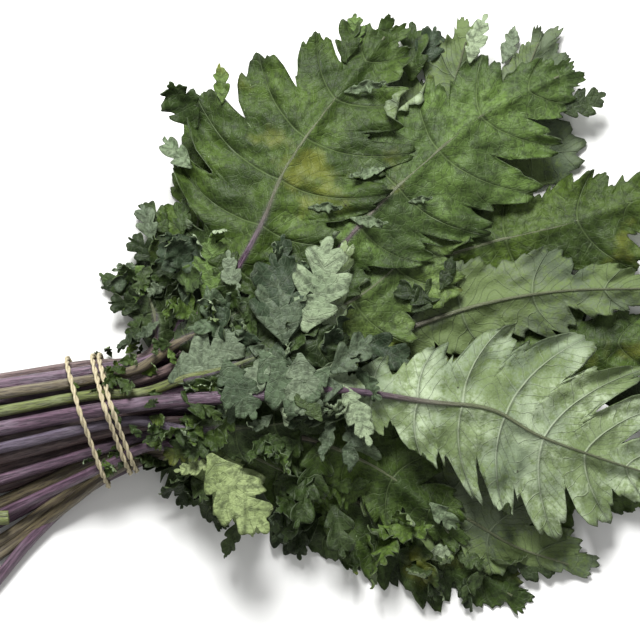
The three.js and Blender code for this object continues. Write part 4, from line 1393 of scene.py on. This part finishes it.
class Maker:
    """A Geometry Nodes tree with named inputs, which turns a plain mesh into a finished piece."""

    def __init__(self, name: str, inputs: dict) -> None:
        """Starts the tree.

        Args:
            name: The tree's name.
            inputs: The kind of each named input.
        """
        self.name = name
        self.tree = bpy.data.node_groups.new(name, "GeometryNodeTree")
        face = self.tree.interface
        face.new_socket("Source", in_out="INPUT", socket_type="NodeSocketGeometry")
        self.sockets = {}
        for key, kind in inputs.items():
            self.sockets[key] = face.new_socket(key, in_out="INPUT", socket_type="NodeSocket" + kind).identifier
        face.new_socket("Mesh", in_out="OUTPUT", socket_type="NodeSocketGeometry")
        self.given = add_node(self.tree, "NodeGroupInput", out=None)

    def end(self, geometry: object) -> None:
        """Ends the tree in plain geometry with its finish."""
        real = add_node(self.tree, "GeometryNodeRealizeInstances", {"Geometry": geometry})
        done = add_node(self.tree, "GeometryNodeSetMaterial", {"Geometry": real, "Material": self.given["Material"]})
        add_node(self.tree, "NodeGroupOutput", {0: done}, None)

    def make(self, name: str, source: bpy.types.Mesh, values: dict) -> bpy.types.Object:
        """Runs the tree over a mesh.

        Args:
            name: The piece's name.
            source: The mesh that it starts from.
            values: The value of each named input.

        Returns:
            The piece, a plain mesh.
        """
        maker = placed(name + "_maker", source)
        modifier = maker.modifiers.new(self.name, "NODES")
        modifier.node_group = self.tree
        for key, value in values.items():
            modifier[self.sockets[key]] = value
        graph = bpy.context.evaluated_depsgraph_get()
        mesh = bpy.data.meshes.new_from_object(maker.evaluated_get(graph))
        bpy.data.objects.remove(maker)
        mesh.name = name
        mesh.shade_smooth()
        return placed(name, mesh)


@dataclass(frozen=True)
class Section:
    """A ribbed round section: distance between its rings, its corners, its ribs and their depth in radii."""

    step: float
    sides: int
    ribs: float
    depth: float


STALK_SECTION = Section(3 * MM, 15, 5.0, 0.035)
SPARE_SECTION = Section(3 * MM, 18, 5.0, 0.035)
PLY_SECTION = Section(0.8 * MM, 10, 4.0, 0.09)


class Sweeper(Maker):
    """Sweeps a ribbed round section along a line, as thick as the line's girth attribute says."""

    def __init__(self, upright: bool) -> None:
        """Builds the tree.

        Args:
            upright: True if the section keeps its top up, and False if it turns with the line.
        """
        inputs = {"Step": "Float", "Sides": "Int", "Ribs": "Float", "Rib depth": "Float", "Material": "Material"}
        super().__init__("ribbed_sweep", inputs)
        tree, given = self.tree, self.given
        curve = add_node(tree, "GeometryNodeMeshToCurve", {"Mesh": given["Source"]})
        girth = add_node(tree, "GeometryNodeInputNamedAttribute", {"Name": "girth"}, data_type="FLOAT")
        curve = add_node(tree, "GeometryNodeResampleCurve", {"Curve": curve, "Length": given["Step"]}, mode="LENGTH")
        mode = "Z_UP" if upright else "MINIMUM_TWIST"
        curve = add_node(tree, "GeometryNodeSetCurveNormal", {"Curve": curve}, mode=mode)
        run = add_node(tree, "GeometryNodeSplineParameter", out=None)
        radius = {"Resolution": given["Sides"], "Radius": 1.0}
        ring = add_node(tree, "GeometryNodeCurvePrimitiveCircle", radius, mode="RADIUS")
        spot = add_node(tree, "GeometryNodeInputPosition")
        store = "GeometryNodeStoreNamedAttribute"
        values = {"Geometry": curve, "Name": "along", "Value": run["Length"]}
        curve = add_node(tree, store, values, data_type="FLOAT", domain="POINT")
        values = {"Geometry": ring, "Name": "around", "Value": spot}
        ring = add_node(tree, store, values, data_type="FLOAT_VECTOR", domain="POINT")
        turn = add_node(tree, "ShaderNodeMath", {0: run["Factor"], 1: 2 * math.pi}, operation="MULTIPLY")
        turn = add_node(tree, "ShaderNodeMath", {0: turn, 1: given["Ribs"]}, operation="MULTIPLY")
        swell = add_node(tree, "ShaderNodeMath", {0: turn}, operation="COSINE")
        size = {0: swell, 1: given["Rib depth"], 2: 1.0}
        size = add_node(tree, "ShaderNodeMath", size, operation="MULTIPLY_ADD")
        moved = add_node(tree, "ShaderNodeVectorMath", {0: spot, "Scale": size}, operation="SCALE")
        ring = add_node(tree, "GeometryNodeSetPosition", {"Geometry": ring, "Position": moved})
        values = {"Curve": curve, "Profile Curve": ring, "Scale": girth, "Fill Caps": True}
        self.end(add_node(tree, "GeometryNodeCurveToMesh", values))

    def sweep(
        self, name: str, lines: list, girths: list, section: Section, material: bpy.types.Material
    ) -> bpy.types.Object:
        """Sweeps lines into one piece.

        Args:
            name: The piece's name.
            lines: Arrays of points, one for each line.
            girths: Radius at each point of each line.
            section: The section.
            material: The finish.

        Returns:
            The piece, a plain mesh.
        """
        edges, start = [], 0
        for line in lines:
            edges.extend((start + i, start + i + 1) for i in range(len(line) - 1))
            start += len(line)
        path = bpy.data.meshes.new(name + "_line")
        path.from_pydata(np.vstack(lines).tolist(), edges, [])
        layer = path.attributes.new("girth", "FLOAT", "POINT")
        layer.data.foreach_set("value", np.concatenate(girths).astype(np.float32))
        values = {"Step": section.step, "Sides": section.sides, "Ribs": section.ribs, "Rib depth": section.depth}
        piece = self.make(name, path, {**values, "Material": material})
        piece.data.set_sharp_from_angle(angle=math.radians(55))
        return piece


@dataclass
class Stalk:
    """A stalk that runs on as the leaf's midrib, its share of the solid's girth, and the midrib's."""

    number: int
    leaf: LeafPlan
    line: CentreLine
    share: float = 0.98
    rib_share: float = 0.74
    rib_from: float = 0.14
    taper: float = 0.12

    def build(self, sweeper: Sweeper, materials: dict) -> bpy.types.Object:
        """Makes the finished stalk over its solid.

        Args:
            sweeper: The tree that sweeps its section.
            materials: Stalk materials by skin name.

        Returns:
            The piece.
        """
        line = self.line
        s = np.linspace(0, line.total, int(line.total / STALK_SECTION.step))
        points = np.column_stack([line.at(s), line.height(s)])
        rib = np.clip((s - line.blade_start) / (line.total - line.blade_start), 0, 1)
        share = self.share + (self.rib_share - self.share) * np.minimum(1, rib / self.rib_from)
        girth = line.girth(s) * share * (1 - self.taper * rib)
        material = materials[self.leaf.stalk.name]
        piece = sweeper.sweep(f"stalk_{self.number:02d}", [points], [girth], STALK_SECTION, material)
        return settled(piece, f"stem_{self.number:02d}")


@dataclass(frozen=True)
class SpareStalk:
    """A stalk whose leaf is hidden: picture points with heights in mm, and its radius in mm at both ends."""

    points: tuple
    radii: tuple
    skin: StalkSkin

    def build(self, number: int, sweeper: Sweeper, materials: dict) -> bpy.types.Object:
        """Makes the stalk.

        Args:
            number: Its number among the spare stalks.
            sweeper: The tree that sweeps its section.
            materials: Stalk materials by skin name.

        Returns:
            The piece.
        """
        rows = np.array(self.points, float)
        line = spline(np.column_stack([on_plan(rows[:, :2]), rows[:, 2] * MM]))
        girth = np.linspace(*self.radii, len(line)) * MM
        name = f"spare_stalk_{number:02d}"
        return settled(sweeper.sweep(name, [line], [girth], SPARE_SECTION, materials[self.skin.name]))


SPARE_STALKS = (
    SpareStalk(((112, 374, 30), (150, 360, 43), (190, 336, 51), (228, 306, 54)), (3.7, 3.0), PURPLE_STALK),
    SpareStalk(((118, 384, 34), (160, 373, 47), (200, 352, 55), (240, 322, 57)), (3.6, 2.8), MAUVE_STALK),
    SpareStalk(((-55, 570, 5), (0, 541, 5.5), (50, 506, 7), (92, 478, 10), (130, 458, 12)), (3.8, 3.2), OLIVE_STALK),
    SpareStalk(((-14, 520, 21), (-4, 519.5, 21), (6, 519, 21)), (4.6, 4.2), LIME_STALK),
    SpareStalk(((-30, 606, 6), (-12, 588, 6), (24, 545, 7), (62, 508, 9), (98, 482, 12), (140, 462, 14)),
               (3.7, 3.2), PURPLE_STALK),
    SpareStalk(((-55, 452, 14), (0, 446, 16), (60, 436, 18), (110, 428, 20), (165, 420, 20)), (4.2, 3.8), PURPLE_STALK),
    SpareStalk(((-58, 500, 5), (0, 488, 6), (60, 468, 8), (120, 446, 12), (170, 436, 14)), (4.0, 3.6), MAUVE_STALK),
    SpareStalk(((-50, 396, 12), (0, 391, 14), (60, 384, 16), (120, 376, 18), (180, 352, 20)), (4.0, 3.6), MAUVE_STALK),
    SpareStalk(((-52, 424, 10), (0, 420, 11), (60, 412, 12), (120, 404, 14), (170, 398, 16)), (4.2, 3.8), PURPLE_STALK),
    SpareStalk(((-50, 536, 5), (0, 518, 6), (60, 484, 8), (110, 458, 12), (150, 446, 14)), (4.0, 3.6), PURPLE_STALK),
)


@dataclass
class LeafletShape:
    """A small lobed and crumpled leaflet, one unit long along +X from its foot."""

    seed: int
    lobes: int = 3
    curl: float = 0.5
    width: float = 0.36
    relief: float = 1.0
    columns: int = 26
    rows: int = 5
    fan: int = 6

    def sheet(self) -> Sheet:
        """Builds the leaflet.

        Returns:
            The sheet, with facts in mm as on a leaflet 25 mm long.
        """
        rng = np.random.default_rng(self.seed)
        u = np.linspace(0, 1, self.columns)
        share = np.arange(1, self.fan + 1) / self.fan
        whole = np.concatenate([u, np.ones(self.fan)])
        bend = rng.uniform(-0.5, 0.5)
        middle = np.column_stack([0.82 * whole, 0.5 * bend * whole**2 * 0.5, np.zeros(len(whole))])
        heading = np.arctan2(np.gradient(middle[: self.columns, 1]), np.gradient(middle[: self.columns, 0]))
        heading = np.concatenate([heading, np.full(self.fan, heading[-1])])
        outs = np.arange(-self.rows, self.rows + 1) / self.rows
        sweep = np.concatenate([np.radians(74 - 34 * u), np.radians(40) * (1 - share)])
        points = np.zeros((len(whole), len(outs), 3))
        rays = np.zeros((len(whole), len(outs)))
        for side in (1, -1):
            envelope = self.width * rng.uniform(0.85, 1.1) * np.sin(math.pi * np.clip(0.1 + 0.8 * u, 0, 1)) ** 0.7
            envelope *= 0.35 + 0.65 * ease(u / 0.35)
            envelope = np.concatenate([envelope, envelope[-1] + (0.2 - envelope[-1]) * ease(share)])
            run = (whole + 0.18 * np.concatenate([np.zeros(len(u)), share])) * self.lobes + rng.uniform(-0.15, 0.15)
            cut = np.abs(np.mod(run + 0.5, 1) - 0.5)
            depth = rng.uniform(0.35, 0.7, self.lobes + 3)[np.clip(np.round(run).astype(int), 0, self.lobes + 2)]
            edge = envelope * (1 - depth * np.exp(-((cut / 0.13) ** 1.7)))
            edge *= 1 - 0.1 * (1 - tooth(run * 1.7 + rng.uniform(0, 1), 2.4))
            for k, out in enumerate(outs):
                if out * side > 0 or (out == 0 and side > 0):
                    reach = edge * abs(out)
                    angle = heading + sweep * side
                    points[:, k, 0] = middle[:, 0] + reach * np.cos(angle)
                    points[:, k, 1] = middle[:, 1] + reach * np.sin(angle)
                    rays[:, k] = reach
        plan = points[:, :, :2]
        arc = whole[:, None] * 2 * math.pi * rng.uniform(1.6, 2.6)
        ripple = np.sin(arc + np.sign(outs)[None, :] * rng.uniform(0.5, 2) + rng.uniform(0, 6))
        z = 0.075 * ripple * (rays / self.width) ** 1.6
        z += 0.035 * crinkle(plan, 0.3, self.seed) * np.minimum(1, rays / 0.06)
        z += rng.uniform(-0.1, 0.35) * rays
        points[:, :, 2] = z * self.relief
        points = self.bent(points, rng.uniform(0.6, 1.0) * self.curl, rng.uniform(-0.5, 0.5) * self.relief)
        part = np.abs(np.mod(whole * self.lobes, 1) - 0.5)[:, None] * np.ones(rays.shape)
        facts = {
            "gap": part * 55 / self.lobes,
            "ray": rays * 25 + 7,
            "out": np.broadcast_to(np.abs(outs), rays.shape),
            "along": np.broadcast_to(whole[:, None], rays.shape),
            "tint": np.full(rays.shape, rng.uniform(-0.28, 0.28)),
        }
        return fan_sheet(points, facts, self.columns, 0.02)

    @staticmethod
    def bent(points: np.ndarray, turn: float, twist: float) -> np.ndarray:
        """Bends the leaflet along its length and twists it.

        Args:
            points: Places of its grid.
            turn: Whole bend from foot to tip, in radians.
            twist: Whole twist from foot to tip, in radians.

        Returns:
            The moved places.
        """
        x, y, z = points[..., 0], points[..., 1], points[..., 2]
        spin = twist * x
        y, z = y * np.cos(spin) - z * np.sin(spin), y * np.sin(spin) + z * np.cos(spin)
        radius = 1 / turn
        angle = x / radius
        return np.stack([(radius - z) * np.sin(angle), y, radius - (radius - z) * np.cos(angle)], axis=-1)


class Scatterer(Maker):
    """Sets a leaflet on each point, by the point's kind, turn and size."""

    def __init__(self) -> None:
        """Builds the tree."""
        super().__init__("leaflets_on_points", {"Leaflets": "Collection", "Size": "Float", "Material": "Material"})
        tree, given = self.tree, self.given
        values = {"Collection": given["Leaflets"], "Separate Children": True, "Reset Children": True}
        parts = add_node(tree, "GeometryNodeCollectionInfo", values)
        kind, turn, grow = (
            add_node(tree, "GeometryNodeInputNamedAttribute", {"Name": name}, data_type=data_type)
            for name, data_type in (("kind", "INT"), ("turn", "FLOAT_VECTOR"), ("grow", "FLOAT"))
        )
        spin = add_node(tree, "FunctionNodeEulerToRotation", {0: turn})
        size = add_node(tree, "ShaderNodeMath", {0: grow, 1: given["Size"]}, operation="MULTIPLY")
        values = {"Points": given["Source"], "Instance": parts, "Pick Instance": True, "Instance Index": kind}
        values |= {"Rotation": spin, "Scale": size}
        self.end(add_node(tree, "GeometryNodeInstanceOnPoints", values))

    def scatter(
        self, name: str, spots: list, leaflets: bpy.types.Collection, material: bpy.types.Material
    ) -> bpy.types.Object:
        """Sets leaflets out as one piece.

        Args:
            name: The piece's name.
            spots: For each leaflet its foot, its turn as Euler angles, its length in metres and its kind.
            leaflets: The leaflets to pick from.
            material: Their finish.

        Returns:
            The piece, a plain mesh.
        """
        places, turns, sizes, kinds = zip(*spots)
        cloud = bpy.data.meshes.new(name + "_points")
        cloud.from_pydata(places, [], [])
        for key, kind, field_name, values in (
            ("turn", "FLOAT_VECTOR", "vector", np.array(turns, np.float32).ravel()),
            ("grow", "FLOAT", "value", np.array(sizes, np.float32)),
            ("kind", "INT", "value", np.array(kinds, np.int32)),
        ):
            cloud.attributes.new(key, kind, "POINT").data.foreach_set(field_name, values)
        return self.make(name, cloud, {"Leaflets": leaflets, "Size": 1.0, "Material": material})


@dataclass
class Leaflets:
    """The small leaflets that grow low on the stalks and crowd the middle of the bunch."""

    kinds: int = 12
    narrow_kind: int = 9
    flat_kinds: tuple = (10, 11)
    seed: int = 11
    ceiling: float = 73.5 * MM

    def shapes(self) -> bpy.types.Collection:
        """Makes one leaflet of each kind.

        Returns:
            The collection that holds them.
        """
        made = bpy.data.collections.new("leaflet_shapes")
        self.outlines = []
        for kind in range(self.kinds):
            shape = LeafletShape(
                seed=100 + kind,
                lobes=3 if kind in self.flat_kinds else 2 + kind % 2,
                curl=-0.06 if kind in self.flat_kinds else (-0.7, 1.2, -1.1, 2.2)[kind % 4],
                width=0.15 if kind == self.narrow_kind else (0.38, 0.28, 0.33, 0.24, 0.42)[kind % 5],
                relief=0.12 if kind in self.flat_kinds else 1.0,
            )
            name = f"leaflet_{kind:02d}"
            sheet = shape.sheet()
            self.outlines.append(sheet.corners)
            made.objects.link(bpy.data.objects.new(name, sheet.mesh(name, False)))
        return made

    def build(self, carriers: list, sprays: tuple, sprigs: tuple, materials: dict) -> list[bpy.types.Object]:
        """Sets every leaflet on what carries it, one piece for each finish.

        Args:
            carriers: The finished blades and stalks.
            sprays: Crowds to strew.
            sprigs: Leaflets listed one by one.
            materials: Leaf materials by skin name.

        Returns:
            The pieces.
        """
        graph = bpy.context.evaluated_depsgraph_get()
        trees = [BVHTree.FromObject(piece, graph) for piece in carriers]

        def top(x: float, y: float) -> float:
            """Height of the highest surface at a plan place."""
            hits = [tree.ray_cast(Vector((x, y, 1)), DOWN)[0] for tree in trees]
            return max([hit.z for hit in hits if hit], default=1 * MM)

        rng = np.random.default_rng(self.seed)
        rows = {}
        for spray in sprays:
            for _ in range(spray.number):
                angle, radius = rng.uniform(0, 2 * math.pi), math.sqrt(rng.uniform(0, 1))
                foot = (
                    spray.middle[0] + spray.spread[0] * radius * math.cos(angle),
                    spray.middle[1] + spray.spread[1] * radius * math.sin(angle),
                )
                way = spray.heading + rng.normal(0, spray.turn)
                size = rng.uniform(*spray.size)
                pitch, lean = rng.uniform(-4, 28), rng.normal(0, 30)
                kind, lift = int(rng.integers(self.flat_kinds[0])), rng.uniform(0.5, spray.lift)
                rows.setdefault(spray.skin.name, []).append((foot, way, size, kind, pitch, lean, lift))
        for sprig in sprigs:
            entry = (sprig.foot, sprig.heading, sprig.size, sprig.kind, sprig.pitch, sprig.roll, sprig.lift)
            rows.setdefault(sprig.skin.name, []).append(entry)
        shapes = self.shapes()
        scatterer = Scatterer()
        pieces = []
        for name, entries in rows.items():
            spots = []
            for foot, way, size, kind, pitch, lean, lift in entries:
                x, y = on_plan(foot)[0]
                heading = math.radians(way)
                length = size * PIXEL
                steps = (0.25, 0.4, 0.55, 0.7, 0.85) if kind in self.flat_kinds else (0.5,)
                ahead = max(
                    top(x + step * length * math.cos(heading), y + step * length * math.sin(heading)) for step in steps
                )
                z = max(top(x, y), ahead - 0.1 * length) + lift * MM
                turn = Euler((math.radians(lean), -math.radians(pitch), heading))
                rises = self.outlines[kind] @ np.array(turn.to_matrix())[2] * length
                z = max(min(z, self.ceiling - rises.max()), 0.6 * MM - rises.min())
                spots.append(((x, y, z), tuple(turn), length, kind))
            piece = scatterer.scatter(f"leaflets_{name}", spots, shapes, materials[name])
            pieces.append(settled(piece))
        for shape in list(shapes.objects):
            bpy.data.objects.remove(shape)
        bpy.data.collections.remove(shapes)
        return pieces


@dataclass
class Tie:
    """The string round the stalks: three turns of two plies twisted together."""

    frame: Frame
    radius: float = 1.6 * MM
    lay: float = 16 * MM
    ply: float = 0.85 * MM

    def path(self) -> np.ndarray:
        """Finds the string's middle line in its solid.

        Returns:
            Points along the three turns.
        """
        tree = self.frame.tree(lambda name: name == "tie_string")
        points = self.frame.meshes["tie_string"][0]
        centre = on_plan(TIE_PIXEL)[0]
        v = (points[:, :2] - centre) @ ACROSS
        middle_v, middle_z = (v.min() + v.max()) / 2, (points[:, 2].min() + points[:, 2].max()) / 2
        wide, tall = v.max() - v.min(), points[:, 2].max() - points[:, 2].min()
        found = []
        for q in np.arange(0.05, 2.855, 1 / 60):
            turn = int(q)
            part = q - turn
            offset = TURN_OFFSETS[turn]
            if part < 0.12:
                before = TURN_OFFSETS[max(0, turn - 1)]
                offset = before + (offset - before) * float(ease((part + 0.12) / 0.24))
            elif part > 0.88:
                after = TURN_OFFSETS[min(2, turn + 1)]
                offset = offset + (after - offset) * float(ease((part - 0.88) / 0.24))
            angle = 2 * math.pi * (part - 0.25)
            angle = math.atan2(tall * math.sin(angle), wide * math.cos(angle))
            start = centre + AXIS * offset * MM + ACROSS * middle_v
            way = Vector((*(ACROSS * math.cos(angle)), math.sin(angle)))
            first = tree.ray_cast(Vector((*start, middle_z)), way, 0.2)[0]
            last = tree.ray_cast(Vector((*start, middle_z)) + way * 0.2, -way, 0.2)[0]
            if first and last and (first - last).length < 3 * self.radius:
                found.append((first + last) / 2)
        return np.array(found)

    def build(self, sweeper: Sweeper, material: bpy.types.Material) -> bpy.types.Object:
        """Makes the finished string over its solid.

        Args:
            sweeper: The tree that sweeps each ply.
            material: The string's finish.

        Returns:
            The piece.
        """
        line = spline(self.path()[::2])
        steps = np.concatenate([[0], np.cumsum(np.linalg.norm(np.diff(line, axis=0), axis=1))])
        s = np.arange(0, steps[-1], 0.9 * MM)
        line = np.column_stack([np.interp(s, steps, line[:, i]) for i in range(3)])
        line = smoothed(line, 5)
        way = np.gradient(line, axis=0)
        way /= np.linalg.norm(way, axis=1)[:, None]
        side = np.cross(way, np.array([*AXIS, 0.0]))
        side /= np.linalg.norm(side, axis=1)[:, None]
        other = np.cross(way, side)
        lines, girths = [], []
        for ply in range(2):
            turn = (2 * math.pi * s / self.lay + math.pi * ply + 0.5 * np.sin(s / (17 * MM)))[:, None]
            lines.append(line + (self.radius - self.ply) * (np.cos(turn) * side + np.sin(turn) * other))
            girths.append(self.ply * (1 + 0.1 * np.sin(s / (5 * MM) + ply)))
        piece = sweeper.sweep("tie_twine", lines, girths, PLY_SECTION, material)
        return settled(piece, "tie_string")


@dataclass
class Studio:
    """Plain pale floor, soft light from the picture's top, and a camera straight above."""

    half_floor: float = 3.0
    sky_light: float = 0.4
    view_height: float = 40 * MM
    lens: float = 200.0

    def build(self) -> None:
        """Makes the floor, the lights and the camera."""
        mesh = bpy.data.meshes.new("studio_floor")
        half = self.half_floor
        mesh.from_pydata([(-half, -half, 0), (half, -half, 0), (half, half, 0), (-half, half, 0)], [], [(0, 1, 2, 3)])
        mesh.materials.append(PaperSkin().material())
        placed("studio_floor", mesh)
        for name, place, size, power in (
            ("key_light", (-0.15, 0.95, 1.25), 0.5, 46.0),
            ("fill_light", (0.5, -1.2, 1.6), 1.6, 3.0),
        ):
            light = bpy.data.lights.new(name, "AREA")
            light.size = size
            light.energy = power
            lamp = placed(name, light)
            lamp.location = place
            lamp.rotation_mode = "QUATERNION"
            lamp.rotation_quaternion = (-Vector(place)).to_track_quat("-Z", "Y")
        world = bpy.data.worlds.new("studio_world")
        world.use_nodes = True
        sky = world.node_tree.nodes["Background"].inputs
        sky["Color"].default_value = (1.0, 1.0, 1.0, 1.0)
        sky["Strength"].default_value = self.sky_light
        bpy.context.scene.world = world
        bpy.context.scene.view_settings.view_transform = "Standard"
        camera = bpy.data.cameras.new("camera")
        camera.lens = self.lens
        camera.sensor_width = 36.0
        camera.clip_end = 50.0
        holder = placed("camera", camera)
        frame_width = 2 * PICTURE_CENTRE * PIXEL
        away = frame_width * self.lens / camera.sensor_width
        holder.location = (PLAN_SHIFT[0], PLAN_SHIFT[1], self.view_height + away)
        bpy.context.scene.camera = holder


def corners(low: Vector, high: Vector) -> list[list[float]]:
    """Turns a box into plain lists."""
    return [list(map(float, low)), list(map(float, high))]


def main() -> None:
    logging.basicConfig(level=logging.INFO, format="%(message)s")
    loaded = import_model()
    frame = Frame(loaded["nodes"])
    Studio().build()
    leaf_skins = {item.skin.name: item.skin for item in (*LEAVES, *SPRAYS, *SPRIGS)}
    stalk_skins = {leaf.stalk.name: leaf.stalk for leaf in LEAVES}
    leaf_materials = {name: skin.material() for name, skin in leaf_skins.items()}
    stalk_materials = {name: skin.material() for name, skin in stalk_skins.items()}
    sweeper = Sweeper(upright=True)
    carriers = []
    for number, leaf in enumerate(LEAVES, 1):
        line = CentreLine(leaf)
        line.stalk_heights(frame, f"stem_{number:02d}")
        blade = Blade(number, leaf, line, frame).build(leaf_materials)
        carriers.extend((blade, Stalk(number, leaf, line).build(sweeper, stalk_materials)))
    carriers.extend(spare.build(number, sweeper, stalk_materials) for number, spare in enumerate(SPARE_STALKS, 1))
    string = Tie(frame).build(Sweeper(upright=False), TwistedPaperSkin().material())
    pieces = [*carriers, string, *Leaflets().build(carriers, SPRAYS, SPRIGS, leaf_materials)]
    for piece in pieces:
        log.info("%s: %d triangles", piece.name, triangles(piece))
    log.info("%d triangles in all", sum(map(triangles, pieces)))
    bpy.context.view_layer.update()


if __name__ == "__main__":
    main()
